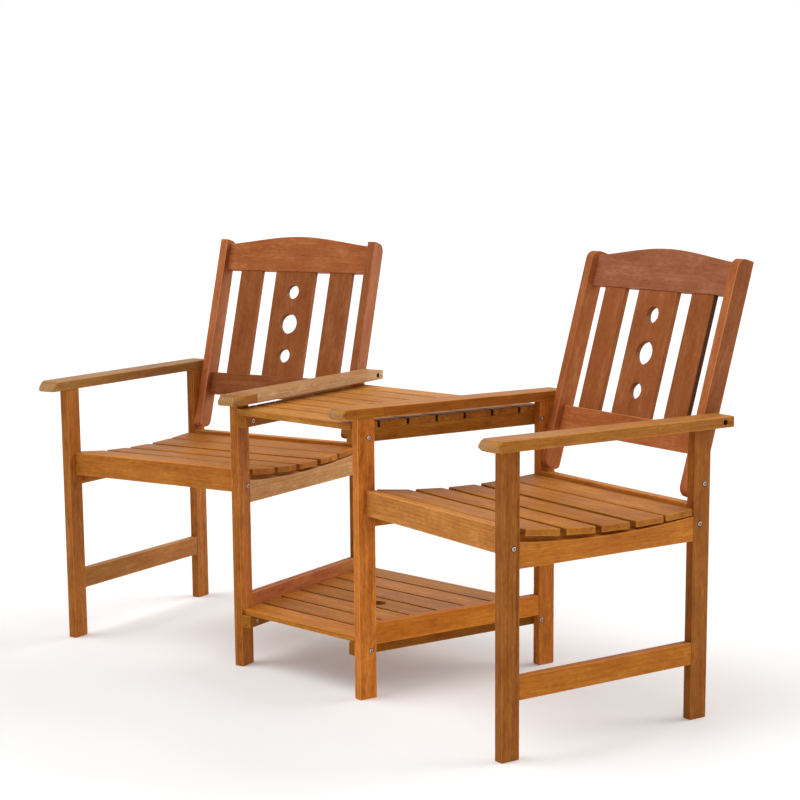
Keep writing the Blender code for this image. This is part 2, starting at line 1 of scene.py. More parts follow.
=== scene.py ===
import json
import math
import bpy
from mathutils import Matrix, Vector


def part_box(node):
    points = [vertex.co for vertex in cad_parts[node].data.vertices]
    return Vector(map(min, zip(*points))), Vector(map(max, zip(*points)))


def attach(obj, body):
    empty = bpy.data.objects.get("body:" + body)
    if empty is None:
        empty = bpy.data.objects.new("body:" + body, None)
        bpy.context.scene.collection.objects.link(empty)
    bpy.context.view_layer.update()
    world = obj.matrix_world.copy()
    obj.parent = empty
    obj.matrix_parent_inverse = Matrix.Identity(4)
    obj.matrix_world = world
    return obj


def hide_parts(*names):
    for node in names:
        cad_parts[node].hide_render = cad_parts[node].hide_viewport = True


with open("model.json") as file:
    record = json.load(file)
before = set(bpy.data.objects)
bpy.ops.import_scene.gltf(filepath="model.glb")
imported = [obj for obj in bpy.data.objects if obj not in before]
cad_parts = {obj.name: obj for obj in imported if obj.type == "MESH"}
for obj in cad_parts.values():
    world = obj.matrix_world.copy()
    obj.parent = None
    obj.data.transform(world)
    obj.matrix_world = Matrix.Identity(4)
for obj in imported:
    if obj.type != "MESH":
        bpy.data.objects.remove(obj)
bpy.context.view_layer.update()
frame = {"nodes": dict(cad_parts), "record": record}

import zlib
from functools import partial

import bpy
import numpy as np
from bpy.props import FloatProperty, FloatVectorProperty, IntProperty, PointerProperty
from mathutils import Matrix

bl_info = {
    "name": "Companion garden bench",
    "version": (1, 0, 0),
    "blender": (4, 5, 0),
    "location": "View3D > Sidebar > Bench",
    "description": "Two slatted armchairs of oiled hardwood joined by a wedge table with a shelf",
    "category": "Add Mesh",
}

FEET = {mount["name"]: np.array(mount["pos_m"]) for mount in frame["record"]["mounts"]}
SIDES = ("left", "right")
ROWS = ("inner", "outer")
PLACES = ("front", "rear")
SHADES = ("light", "mid", "dark")
UP = np.array((0.0, 0.0, 1.0))
ASIDE = np.array((1.0, 0.0, 0.0))

# Steps of the fine surfaces
EDGE_STEPS = 5
SHAPED_STATIONS = 48
NOSE_STEPS = 12
HOLE_STEPS = 96
BOLT_RINGS = 28
BOLT_SPOKES = 72
SHARP_DEG = 32
# Distance of the support points beside a rounded edge, and its shares of the free flat and of the radius
SUPPORT = 0.0005
FLAT_SHARE = 0.25
ROUND_SHARE = 0.005
# Least radius of an edge, and how much of a side its two corners may fill
LEAST_RADIUS = 0.00008
FULL_SHARE = 0.98
# Length over which a nose's rounding falls back to the plain edge, past the clipped corner
NOSE_BLEND = 0.01
# Rims sharper than this are eased. A face is a hole's wall if it lies this near and leans this little
RIM_DEG = 60
WALL_REACH = 1.001
WALL_LEAN = 0.5
# Past this share of upright, a bar takes its first side from another axis
UPRIGHT = 0.9
# Shares of a bolt head's radius: the round of its rim, and the slope of its socket's wall
RIM_SHARE = 0.12
WALL_SHARE = 0.05
# A seat bearer begins this share of the side rail's height up, and ends this far from the legs
BEARER_SHARE = 1 / 6
BEARER_REVEAL = 0.003
# Share of a wedge slat's half length that keeps its place when the ends are slanted
STRAIGHT_SHARE = 0.6
FLOOR_REACH = 60
SENSOR_MM = 36
METRES = {"unit": "LENGTH", "precision": 5}


def linear(code):
    """Linear colour of an sRGB hex code."""
    values = [int(code[i:i + 2], 16) / 255 for i in (1, 3, 5)]
    return tuple(v / 12.92 if v <= 0.04045 else ((v + 0.055) / 1.055) ** 2.4 for v in values)


def size(label, default, text):
    """Length property of the bench, in metres."""
    return FloatProperty(name=label, description=text, default=default, **METRES)


def clip(label, default):
    """Clipped corner of an arm's nose: its width and its depth, in metres."""
    text = f"{label} corner of the arms, as cut off across and along"
    return FloatVectorProperty(name=label, description=text, default=default, size=2, **METRES)


def stain(label, code):
    """Colour property of the finish."""
    settings = {"name": label, "description": f"{label} colour of the stained wood", "subtype": "COLOR"}
    return FloatVectorProperty(default=linear(code), min=0, max=1, **settings)


def amount(label, default, text):
    """Plain number of the studio."""
    return FloatProperty(name=label, description=text, default=default)


class BenchSizes(bpy.types.PropertyGroup):
    """Sizes of the bench that its frame doesn't say."""

    fit_gap: size("Fit gap", 0.0003, "Clearance between touching pieces")
    edge_round: size("Edge round", 0.0022, "Radius of the sanded edges of legs, rails and arms")
    slat_round: size("Slat round", 0.0024, "Radius of the long edges of the seat's slats")
    table_slat_round: size("Table slat round", 0.0013, "Radius of the long edges of the table's slats")
    butt_round: size("Butt round", 0.0004, "Radius at an end that butts against another piece")
    rim_ease: size("Rim ease", 0.0007, "Width of the eased rims of holes")
    side_rail_thickness: size("Side rail thickness", 0.02, "Thickness of the dished side rail")
    side_rail_height: size("Side rail height", 0.0505, "Height of the side rail at its ends")
    side_rail_dish: size("Side rail dish", 0.0115, "Depth of the dish in the side rail's top edge")
    crest_arch: size("Crest arch", 0.0173, "Rise of the plain arch over the crest rail's ends")
    crest_rise: size("Crest rise", 0.0215, "Rise of the finished crest, fuller in its middle")
    stile_top_round: size("Stile top round", 0.02, "Radius at the top of a stile's rounded edge")
    stile_top_ease: size("Stile top ease", 0.003, "Radius at the top of a stile's other edge")
    stile_tail_round: size("Stile tail round", 0.02, "Radius at the foot of a stile's rounded edge")
    stile_tail_ease: size("Stile tail ease", 0.01, "Radius at the foot of a stile's other edge")
    left_nose_round: size("Left nose round", 0.0195, "Radius over the noses of the left chair's arms")
    left_clip_round: size("Left clip round", 0.01, "Radius over the left chair's clipped corners")
    right_nose_round: size("Right nose round", 0.0145, "Radius over the noses of the right chair's arms")
    right_nose_under_round: size("Right nose under round", 0.0115, "Radius under the right chair's noses")
    left_outer_clip: clip("Left chair's outer", (0.012, 0.02))
    left_inner_clip: clip("Left chair's inner", (0.006, 0.005))
    right_outer_clip: clip("Right chair's outer", (0.018, 0.012))
    right_inner_clip: clip("Right chair's inner", (0.011, 0.011))
    arm_bolt_from_end: size("Arm bolt from end", 0.024, "Bolt of the back stile, from the arm's rear end")
    counterbore_diameter: size("Counterbore diameter", 0.0112, "Recess for the arm's bolt head")
    counterbore_depth: size("Counterbore depth", 0.03, "Depth of the recess for the arm's bolt head")
    splat_hole_diameter: size("Splat hole diameter", 0.05, "Middle hole of the splat")
    splat_small_hole_diameter: size("Small hole diameter", 0.035, "Upper and lower hole of the splat")
    splat_hole_height: size("Splat hole height", 0.212, "Middle hole, up the lean of the back")
    splat_small_hole_spacing: size("Small hole spacing", 0.0813, "From the middle hole to the others")
    back_slat_swell: size("Back slat swell", 0.0025, "How far a back slat stands out behind its CAD solid")
    back_origin_height: size("Back origin height", 0.516, "Height of the back's own zero")
    parasol_hole_diameter: size("Parasol hole diameter", 0.038, "Hole for the pole in table and shelf")
    parasol_back: size("Parasol place", 0.249125, "Hole for the pole, behind the inner legs' front")
    shelf_front: size("Shelf front", 0.007, "Front edge of the shelf, behind the inner legs' front")
    shelf_rear: size("Shelf rear", 0.5035, "Rear edge of the shelf")
    shelf_slat_thickness: size("Shelf slat thickness", 0.012, "Thickness of the shelf's slats")
    shelf_gap: size("Shelf gap", 0.006, "Gap between the shelf's slats")
    shelf_slats: IntProperty(name="Shelf slats", description="Number of slats in the shelf", default=7)
    batten_width: size("Batten width", 0.022, "Width of the shelf's battens")
    bolt_diameter: size("Bolt head diameter", 0.009, "Diameter of a bolt's head")
    bolt_clearance: size("Bolt clearance", 0.0013, "Ring of air round a sunk bolt head")
    bolt_sink: size("Bolt sink", 0.004, "Depth of the recess that a bolt's head lies in")
    bolt_stand: size("Bolt stand", 0.0004, "How far a bolt's head stands out of the wood")
    bolt_socket: size("Bolt socket", 0.0054, "Width of the hexagon in a bolt's head")
    bolt_socket_depth: size("Bolt socket depth", 0.0034, "Depth of the hexagon in a bolt's head")


class BenchFinish(bpy.types.PropertyGroup):
    """Stain of each group of pieces: a light, a middle and a dark colour of the figure."""

    leg_light: stain("Leg light", "#CE8338")
    leg_mid: stain("Leg middle", "#AE6627")
    leg_dark: stain("Leg dark", "#844419")
    rail_light: stain("Rail light", "#D38D3D")
    rail_mid: stain("Rail middle", "#B86F2A")
    rail_dark: stain("Rail dark", "#914C1A")
    seat_light: stain("Seat light", "#CD8836")
    seat_mid: stain("Seat middle", "#AD6A27")
    seat_dark: stain("Seat dark", "#854719")
    arm_light: stain("Arm light", "#BB8236")
    arm_mid: stain("Arm middle", "#A06221")
    arm_dark: stain("Arm dark", "#793F14")
    back_light: stain("Back light", "#B77447")
    back_mid: stain("Back middle", "#9A572E")
    back_dark: stain("Back dark", "#733A1C")
    table_light: stain("Table light", "#CA8D3B")
    table_mid: stain("Table middle", "#AE6D26")
    table_dark: stain("Table dark", "#844919")
    end_grain: stain("End grain", "#BF9569")


class BenchStudio(bpy.types.PropertyGroup):
    """Camera and lamps."""

    camera_place: FloatVectorProperty(
        name="Camera", description="Place of the camera", default=(2.8158, -2.7951, 1.1068), unit="LENGTH"
    )
    camera_turn: amount("Turn", 44.274, "Degrees from straight back to the left")
    camera_dip: amount("Dip", 9.395, "Degrees below the horizon")
    camera_roll: amount("Roll", -0.448, "Degrees about the line of sight")
    camera_lens: amount("Lens", 81.48, "Focal length on a 36 mm sensor")
    camera_rise: amount("Rise", 0.08, "Lens shift, as a share of the frame")
    key_strength: amount("Key", 1.4, "Strength of the high soft lamp")
    rear_strength: amount("Rear", 2.2, "Strength of the low lamp behind")
    rim_strength: amount("Rim", 0.3, "Strength of the low lamp behind at the left")
    fill_strength: amount("Fill", 0.25, "Strength of the lamp at the right")
    room_light: amount("Room", 0.45, "Strength of the light all round")
    floor_lift: amount("Floor lift", 0.15, "White added to the floor for the camera")


class Basis:
    """Axes of a chair, a back or a slat: an origin and three unit directions, as rows."""

    def __init__(self, origin, rows):
        self.origin = np.array(origin, float)
        self.rows = np.array(rows, float)
        self.mirrored = np.linalg.det(self.rows) < 0

    def local(self, points):
        return (points - self.origin) @ self.rows.T

    def world(self, points):
        return points @ self.rows + self.origin

    def box(self, node):
        """Lowest and highest corner of a CAD node along these axes."""
        points = self.local(node_points(node))
        return points.min(0), points.max(0)

    def tilted(self, node):
        """The same axes turned about the first one, until the node's section lies square to them."""
        points = self.local(node_points(node))
        flat = points[:, 1:] - points[:, 1:].mean(0)
        main = np.linalg.svd(flat, full_matrices=False)[2][0]
        main = main * np.sign(main[np.argmax(np.abs(main))])
        if abs(main[1]) > abs(main[0]):
            main = np.array((main[1], -main[0]))
        y = main[0] * self.rows[1] + main[1] * self.rows[2]
        z = main[0] * self.rows[2] - main[1] * self.rows[1]
        return Basis(self.origin, (self.rows[0], y, z))


WORLD = Basis((0, 0, 0), np.eye(3))


def read(items, name, width, kind=float):
    """Values of that name of a mesh's points or faces, one row each."""
    values = np.empty(len(items) * width, kind)
    items.foreach_get(name, values)
    return values.reshape(-1, width)


def node_points(node):
    """Points of a CAD node, one row each."""
    return read(frame["nodes"][node].data.vertices, "co", 3)


def nodes_named(start):
    """Names of the CAD nodes that begin like this, in order."""
    return sorted(name for name in frame["nodes"] if name.startswith(start))


def unit(vector):
    """The vector over its length."""
    return vector / np.linalg.norm(vector)


def chair_basis(side):
    """Axes of one chair, from its feet: across from the table, back from the front legs, and up."""
    start = FEET[f"{side}_inner_front_foot"]
    across = unit(FEET[f"{side}_outer_front_foot"] - start)
    back = unit(FEET[f"{side}_inner_rear_foot"] - start)
    low = Basis(start, (across, back, UP)).box(f"{side}_inner_front_leg")[0]
    return Basis(start + low[0] * across + low[1] * back, (across, back, UP))


def back_basis(side, sizes):
    """Axes of one back: across, through from front to rear, and up the lean. The zero lies on the
    stiles' front plane, at the height that the splat's holes are counted from."""
    basis = chair_basis(side).tilted(f"{side}_inner_back_slat")
    stile = basis.box(f"{side}_inner_back_stile")[0]
    front = basis.origin + stile[1] * basis.rows[1]
    rise = (sizes.back_origin_height - front[2]) / basis.rows[2][2]
    return Basis(front + rise * basis.rows[2], basis.rows)


def ring_of(edge_steps):
    """Unit terms of a rounded rectangle: corner signs, arc directions, pulls along the flats, and edge
    marks.

    Each corner is an arc of 90 degrees with a support point on the flat at either side. The edge
    mark, for rubbing and a painted highlight, is the sine over the arc: none where it meets a flat,
    and full in its middle. The last row marks the support points on the flats that face across,
    where painted shade goes on the sides."""
    corner = np.repeat(np.arange(4), edge_steps + 3)
    share = np.tile(np.concatenate(([0], np.linspace(0, 1, edge_steps + 1), [1])), 4)
    pull = np.tile(np.concatenate(([1], np.zeros(edge_steps + 1), [-1])), 4)
    turn = (corner + share) * math.pi / 2
    signs = np.array(((1, -1, -1, 1), (1, 1, -1, -1)))[:, corner]
    arcs = (
        np.cos(turn), np.sin(turn), pull * np.sin(turn), -pull * np.cos(turn), np.sin(share * math.pi),
        np.abs(pull * np.cos(turn)),
    )
    return np.concatenate((signs, arcs))


RING = ring_of(EDGE_STEPS)
# Corner that each point of the ring belongs to, and that corner's neighbours across and through
CORNER = np.repeat(np.arange(4), EDGE_STEPS + 3)
ACROSS, THROUGH = np.array((1, 0, 3, 2))[CORNER], np.array((3, 2, 1, 0))[CORNER]


def board_surface(start, end, bounds, edge, butts, inner, pooled):
    """Board whose section at each station is a rounded rectangle between four bounds.

    A point is middle + sign * (half - radius) + radius * (cos, sin) across and through. The edge is
    one radius, or a function that gives those of the four corners at each station. Near an end
    the section shrinks by radius * (1 - sin) while the station moves on by radius * (1 - cos).
    The mark is above zero on the rounded edges, for rubbing and a painted highlight, and below
    it on the sides that are given painted shade."""
    turn = np.linspace(0, math.pi / 2, EDGE_STEPS + 1)
    first, last = start + butts[0] + SUPPORT, end - butts[1] - SUPPORT
    middle = [station for station in inner if first < station < last]
    flat = np.zeros(len(middle) + 2)
    head, tail = butts[0] * (1 - np.cos(turn)), butts[1] * (1 - np.cos(turn))
    stations = np.concatenate((start + head, [first], middle, [last], end - tail[::-1]))
    inset = np.concatenate((butts[0] * (1 - np.sin(turn)), flat, butts[1] * (1 - np.sin(turn[::-1]))))
    low_a, high_a, low_b, high_b = (np.broadcast_to(value, stations.shape) for value in bounds(stations))
    half_a = ((high_a - low_a) / 2 - inset)[:, None]
    half_b = ((high_b - low_b) / 2 - inset)[:, None]
    corners = edge(stations) if callable(edge) else np.full((4, len(stations)), edge)
    corners = np.clip(corners - inset, LEAST_RADIUS, None).T
    wish, across, through = corners[:, CORNER], corners[:, ACROSS], corners[:, THROUGH]
    room = np.minimum(half_a / (wish + across), half_b / (wish + through)) * wish * 2 * FULL_SHARE
    radius = np.minimum(wish, room)
    support = np.minimum(SUPPORT, (room - radius) * FLAT_SHARE + radius * ROUND_SHARE)
    sign_a, sign_b, cos, sin, pull_a, pull_b, worn_and_painted_light, facing = RING
    a = (low_a + high_a)[:, None] / 2 + sign_a * (half_a - radius) + radius * cos + support * pull_a
    b = (low_b + high_b)[:, None] / 2 + sign_b * (half_b - radius) + radius * sin + support * pull_b
    s = np.broadcast_to(stations[:, None], a.shape)
    # Each side's share of painted shade: below zero on that side's support points, and past one it takes
    # away the paler edge too
    stained = np.where(sign_a > 0, pooled[1], pooled[0])
    worn_and_painted_light = worn_and_painted_light * np.clip(2 - stained, 0, 1) - stained * facing
    rounded = [np.sin(2 * turn) * (butt > SUPPORT) for butt in butts]
    ends = np.concatenate((rounded[0], flat, rounded[1][::-1]))[:, None]
    wear = np.where(ends > 0, np.maximum(worn_and_painted_light[None, :], ends), worn_and_painted_light[None, :])
    wear[[0, -1]] = 0
    return np.stack((s, a, b), 2), wear.reshape(-1)


def grid_faces(rows, columns):
    """Quads of a grid that is closed round its columns, and a face over each end."""
    index = np.arange(rows * columns).reshape(rows, columns)
    nxt = np.roll(index, -1, 1)
    quads = np.stack((index[:-1], nxt[:-1], nxt[1:], index[1:]), 2).reshape(-1, 4)
    return quads.tolist() + [index[0][::-1].tolist(), index[-1].tolist()]


# Where a basis finds its three coordinates among station, across and through, for each lengthwise axis
ORDER = {0: (0, 1, 2), 1: (2, 0, 1), 2: (1, 2, 0)}


def board(basis, along, low, high, edge, butts, bounds=None, inner=(), bend=None, pooled=(0, 0)):
    """Points, faces and edge marks of a board in a basis, for rubbing, painted highlight and painted
    shade. Its length runs along the axis with that number.

    bounds gives the limits across and through at each station, bend moves the finished points, and
    the side shading says for each side across how much shade is painted on it."""
    across, through = (along + 1) % 3, (along + 2) % 3
    plain = (low[across], high[across], low[through], high[through])
    bounds = bounds or (lambda stations: plain)
    surface, wear = board_surface(low[along], high[along], bounds, edge, butts, inner, pooled)
    points = surface.reshape(-1, 3)[:, ORDER[along]]
    if bend:
        points = bend(points)
    faces = grid_faces(*surface.shape[:2])
    if basis.mirrored:
        faces = [face[::-1] for face in faces]
    return basis.world(points), faces, wear


# Settings that the words after a node's kind stand for, and its sockets where they don't come in order
WAYS = {
    "Math": ("operation",), "VectorMath": ("operation",), "MapRange": ("interpolation_type",),
    "Mix": ("data_type", "blend_type"), "Attribute": ("attribute_name",), "Mapping": ("vector_type",),
}
SOCKETS = {"Mix": (0, 6, 7), "TexNoise": (0, 2, 3, 4), "VectorMath SCALE": (0, 3)}


def fill(node, inputs):
    """Link each of these inputs of a node to its socket, or give it its value."""
    for name, value in inputs.items():
        if isinstance(value, bpy.types.NodeSocket):
            node.id_data.links.new(value, node.inputs[name])
        else:
            node.inputs[name].default_value = value


def add_node(tree, kind, *inputs, named=None, **settings):
    """Outputs of a new node, whose inputs come in order or by name."""
    word, *ways = kind.split()
    node = tree.nodes.new(f"ShaderNode{word}")
    for name, value in (*zip(WAYS.get(word, ()), ways), *settings.items()):
        setattr(node, name, value)
    sockets = SOCKETS.get(kind, SOCKETS.get(word, range(len(inputs))))
    fill(node, {**dict(zip(sockets, inputs)), **(named or {})})
    return node.outputs


def add_material(name):
    """Empty material, as itself, its node tree and its shader."""
    material = bpy.data.materials.new(name)
    material.use_nodes = True
    return material, material.node_tree, material.node_tree.nodes["Principled BSDF"]


def grain_group():
    """Figure of oiled, stained tropical hardwood, as one node group for all boards.

    The vector is in metres along, across and through the board, from the heart of the tree.
    Growth rings are distances from the heart, bent by a slow noise. Streaks and fibres are noises
    drawn out along the board, pores are short dark dashes along it, and clouds are the patches where
    the stain took more or less. Beyond a glued joint the board goes on with another piece of wood."""
    tree = bpy.data.node_groups.new("oiled_hardwood_figure", "ShaderNodeTree")
    sockets = (
        ("INPUT", "Vector", "Vector Axis Joints"), ("INPUT", "Float", "Figure Nose Topside"),
        ("INPUT", "Color", "Light Mid Dark Beyond Last"),
        ("OUTPUT", "Color", "Color"), ("OUTPUT", "Float", "Roughness Height"),
    )
    for way, kind, names in sockets:
        for name in names.split():
            tree.interface.new_socket(name, in_out=way, socket_type=f"NodeSocket{kind}")
    source = tree.nodes.new("NodeGroupInput").outputs
    add = partial(add_node, tree)

    def total(first, *parts):
        """Sum of a first value, and of each part's value times its share."""
        for value, share in parts:
            first = add("Math MULTIPLY_ADD", value, share, first)[0]
        return first

    # Glued joints: beyond each one the figure jumps to another place in the tree
    along = add("SeparateXYZ", source["Vector"])[0]
    joints = add("SeparateXYZ", source["Joints"])[:2]
    first, last = (add("Math GREATER_THAN", along, joint)[0] for joint in joints)
    vector = source["Vector"]
    for step, jump in ((first, (0.61, 0.023, -0.017)), (last, (0.37, -0.031, 0.019))):
        vector = add("VectorMath ADD", vector, add("VectorMath SCALE", jump, step)[0])[0]
    glue = add("Math MAXIMUM", *(add("Math COMPARE", along, joint, 0.0004)[0] for joint in joints))[0]
    # The heart wanders by a few millimetres over a hand's breadth of board
    sway = add("TexNoise", add("VectorMath MULTIPLY", vector, (3, 14, 14))[0], 1, 2)[1]
    sway = add("VectorMath SUBTRACT", sway, (0.5, 0.5, 0.5))[0]
    bent = add("VectorMath ADD", vector, add("VectorMath MULTIPLY", sway, (0, 0.016, 0.016))[0])[0]
    distance = add("VectorMath LENGTH", add("VectorMath MULTIPLY", bent, (0, 1, 1))[0])["Value"]
    # Noises by the place that they read, their waves in a metre along, across and through the board,
    # their detail and its roughness
    noises = (
        # Wobble of the rings
        (bent, (0.5, 70, 70), 1, 0.5),
        # Fibres about 2 mm wide and 35 mm long, with finer ones in them
        (vector, (28, 480, 480), 4, 0.7),
        # Streaks of colour 8 to 15 mm wide that run most of the board's length
        (bent, (2.2, 95, 95), 3, 0.55),
        # Clouds of a finger's length, and mottle a few millimetres wide
        (vector, (11, 30, 30), 2, 0.5),
        (vector, (70, 160, 160), 2, 0.5),
        # Smudges of darker stain, a few on each board
        (vector, (17, 42, 42), 2, 0.5),
        # Pores under 1 mm wide, and the coarser flecks that still show from a few steps away
        (vector, (90, 1500, 1500), 1, 0.5),
        (vector, (100, 430, 430), 1, 0.5),
    )
    wobble, fibres, streaks, clouds, mottle, smudges, pores, flecks = (
        add("TexNoise", add("VectorMath MULTIPLY", place, waves)[0], 1, detail, roughness)[0]
        for place, waves, detail, roughness in noises
    )
    smudges, pores, flecks = (
        add("MapRange SMOOTHSTEP", *noise)[0]
        for noise in ((smudges, 0.6, 0.8), (pores, 0.58, 0.72), (flecks, 0.56, 0.74))
    )
    # Rings 4 to 6 mm apart: wider than most, so that they show at the size of the picture
    saw = add("Math FRACT", total(add("Math MULTIPLY", distance, 1 / 0.005)[0], (wobble, 1.6)))[0]
    rise, fall = (add("MapRange SMOOTHSTEP", saw, *ends)[0] for ends in ((0.35, 0.9), (0.92, 1)))
    late = add("Math MULTIPLY", rise, add("Math SUBTRACT", 1, fall)[0])[0]
    # Sawn ends and noses show the rings as plain lines
    normal = add("NewGeometry")["Normal"]
    facing = add("VectorMath DOT_PRODUCT", normal, source["Axis"])["Value"]
    sawn = add("MapRange SMOOTHSTEP", add("Math ABSOLUTE", facing)[0], 0.35, 0.8)[0]
    nose, figured = add("Math MULTIPLY", sawn, source["Nose"])[0], source["Figure"]
    streaky, fibrous, cloudy, mottled = (
        add("Math SUBTRACT", noise, 0.5)[0] for noise in (streaks, fibres, clouds, mottle)
    )
    tone = total(
        0.55, (streaky, add("Math MULTIPLY", figured, 0.75)[0]), (fibrous, total(0.35, (figured, 0.55))),
        (cloudy, 0.62), (mottled, 0.4), (add("Math MULTIPLY", late, figured)[0], -0.14),
        (add("Math MULTIPLY", late, nose)[0], -0.5), (nose, 0.2), (sawn, -0.06),
    )
    figure = source["Dark"]
    for colour, low, high in (("Mid", 0.08, 0.5), ("Light", 0.45, 0.9)):
        share = add("MapRange SMOOTHSTEP", tone, low, high)[0]
        figure = add("Mix RGBA MIX", share, figure, source[colour])[2]
    # The change of colour beyond a joint shows less on faces that look up, by the board's share.
    # Below one it paints the sides apart from the top: a painted sheen on the left inner arm's pale
    # sides, painted shade on the right inner arm's sides
    upward = add("MapRange SMOOTHSTEP", add("SeparateXYZ", normal)[2], 0.3, 0.8)[0]
    shown = total(1, (upward, add("Math SUBTRACT", source["Topside"], 1)[0]))
    for step, tint in ((first, "Beyond"), (last, "Last")):
        share = add("Math MULTIPLY", step, shown)[0]
        figure = add("Mix RGBA MULTIPLY", share, figure, source[tint])[2]
    # Noses are pale between their rings. Sanded edges are painted paler too, in patches: partly
    # from rubbing, partly a painted highlight
    pale = (*bpy.context.scene.bench_finish.end_grain, 1)
    pale = add("Mix RGBA MIX", add("Math MULTIPLY", late, 0.4)[0], pale, source["Mid"])[2]
    # Marks from the mesh: rubbing with painted highlight, painted side shade, and painted shade on the
    # walls of holes
    wear, bored = (add(f"Attribute {name}")["Fac"] for name in ("wear", "bored"))
    patchy = add("Math MULTIPLY", wear, total(0.35, (clouds, 1)))[0]
    worn_and_painted_light = add("MapRange SMOOTHSTEP", patchy, 0.22, 0.65)[0]
    rubbed_and_lit_colour = add("VectorMath SCALE", source["Light"], 1.12)[0]
    for place, share, colour in ((nose, 0.8, pale), (worn_and_painted_light, 0.65, rubbed_and_lit_colour)):
        figure = add("Mix RGBA MIX", add("Math MULTIPLY", place, share)[0], figure, colour)[2]
    # Painted shade on the sides between neighbouring slats and boards, deeper where more is given
    pooled, deep_painted_side_shade = (
        add("MapRange SMOOTHSTEP", wear, *ends)[0] for ends in ((-0.05, -0.6), (-0.8, -1.8))
    )
    # Pores, flecks, glue lines and smudges are the wood's own; the side shade and the hole shade are
    # painted shade
    shade = total(
        1, (pores, -0.16), (flecks, -0.17), (glue, -0.35), (pooled, -0.4), (deep_painted_side_shade, -0.4), (bored, -0.75),
        (add("Math MULTIPLY", smudges, figured)[0], -0.3),
    )
    height = add("Math MULTIPLY", fibres, 0.6)[0]
    fill(tree.nodes.new("NodeGroupOutput"), {
        "Color": add("VectorMath SCALE", figure, shade)[0],
        "Roughness": total(0.45, (fibres, 0.16), (clouds, 0.12), (sawn, 0.15), (worn_and_painted_light, 0.06)),
        "Height": total(height, (pores, -1), (flecks, -0.5), (late, -0.15), (glue, -0.8)),
    })


# Tone and warmth of the boards that stand out from their group in the photograph
TONES = {
    "left": {
        "outer_front_leg": (0.95, -0.06), "inner_front_leg": (1.06, -0.04), "outer_rear_leg": (0.88, -0.02),
        "outer_stretcher": (0.86, -0.26), "inner_stretcher": (0.95, -0.08), "front_rail": (1.05, 0.0),
        # The left inner side rail's and outer arm's pale, cool tones are partly a painted sheen on their
        # faces that look to the right
        "inner_side_rail": (1.6, -0.65), "outer_arm": (1.08, -0.36), "inner_arm": (0.79, 0.02),
        "inner_back_stile": (1.1, -0.08), "outer_back_stile": (1.6, -0.06), "crest_rail": (1.3, 0.0),
        "lower_back_rail": (0.82, 0.0), "splat": (0.95, 0.0),
    },
    "right": {
        "outer_front_leg": (0.71, 0.02), "inner_front_leg": (1.4, 0.02), "outer_rear_leg": (0.7, 0.02),
        "inner_rear_leg": (1.12, 0.06), "outer_stretcher": (0.88, 0.15), "inner_stretcher": (1.13, 0.17),
        "outer_side_rail": (0.96, 0.1), "front_rail": (1.29, -0.2), "outer_arm": (1.02, 0.06),
        "inner_arm": (1.12, 0.06), "inner_back_stile": (1.22, 0.02), "outer_back_stile": (1.38, 0.0),
        "crest_rail": (1.22, -0.24), "lower_back_rail": (1.33, 0.03), "splat": (1.03, 0.02),
    },
    "table": {"apron_right": (0.8, 0.1), "apron_left": (0.85, 0.06)},
    "shelf": {
        "batten_right": (0.63, 0.14), "batten_left": (0.85, 0.04), "slat_1": (1.18, 0.06),
        "slat_2": (0.94, 0.02), "slat_3": (1.12, 0.04), "slat_4": (0.94, 0.1), "slat_5": (1.05, 0.0),
        "slat_6": (1.2, 0.06), "slat_7": (0.98, 0.04),
    },
}
# Glued joints: distance from the board's front end, and the change of colour beyond it
JOINTS = {
    # On the left inner arm the first change is pale and blue: beside the joint's own colour it is a painted
    # sheen on the arm's sides
    "left_inner_arm": ((0.072, (1.55, 2.45, 8.6)), (0.42, (1.05, 1.04, 0.98))),
    "left_outer_arm": ((0.3, (0.92, 0.88, 0.85)),),
    "left_inner_stretcher": ((0.0, (0.86, 0.68, 1.05)), (0.36, (1.04, 1.37, 1.0))),
    "right_inner_arm": ((0.112, (0.88, 0.76, 0.72)),),
    "right_outer_arm": ((0.105, (0.96, 0.98, 1.05)), (0.39, (0.96, 0.95, 0.94))),
}
NO_JOINT = (100.0, (1.0, 1.0, 1.0))
# How much of that change shows on top, where it isn't all; the rest paints the sides apart from
# the top, in painted sheen and painted shade
TOPSIDE = {"left_inner_arm": 0.4, "right_inner_arm": 0.3}
# Painted shade on the low and the high side of boards that are darker there than on their front;
# beside its stile, the right outer back slat's high side gets a painted shadow
PAINTED_SIDE_SHADES = {
    "left_outer_back_stile": (0.55, 0.55),
    "right_outer_back_stile": (0.6, 0.6),
    "right_inner_back_stile": (0.15, 0.15),
    "right_outer_back_slat": (0.3, 1.7),
    "right_inner_back_slat": (0.25, 0.25),
    "left_outer_back_slat": (0.25, 0.25),
    "left_inner_back_slat": (0.25, 0.25),
    "right_splat": (0.25, 0.25),
    "left_splat": (0.25, 0.25),
}
# Painted shade, deeper, on the sides between the slats of table and shelf
PAINTED_GAP_SHADE = 1.9
# How strong the figure of each group is, its sheen, and how far its boards differ in tone and in
# warmth. Arms are rubbed to a brighter satin by hands and sleeves
FIGURE = {"leg": 1.0, "rail": 0.7, "seat": 0.8, "arm": 0.7, "back": 0.45, "table": 0.8}
SHEEN = {"leg": 0.2, "rail": 0.2, "seat": 0.2, "arm": 0.32, "back": 0.2, "table": 0.2}
SPREAD = {"leg": 0.07, "rail": 0.06, "seat": 0.08, "arm": 0.05, "back": 0.06, "table": 0.13}
WARM_SPREAD = 0.06
# Boards are sawn a few degrees off the heart, which opens the rings into long flames. The heart is
# this far away from a board, and its figure starts up to this far along the tree
LEAN_DEG = 1.6
HEART_AWAY = (0.05, 0.13)
HEART_ALONG = 2


def chance(name):
    """Random numbers of one piece, the same in each run."""
    return np.random.default_rng(zlib.crc32(name.encode()))


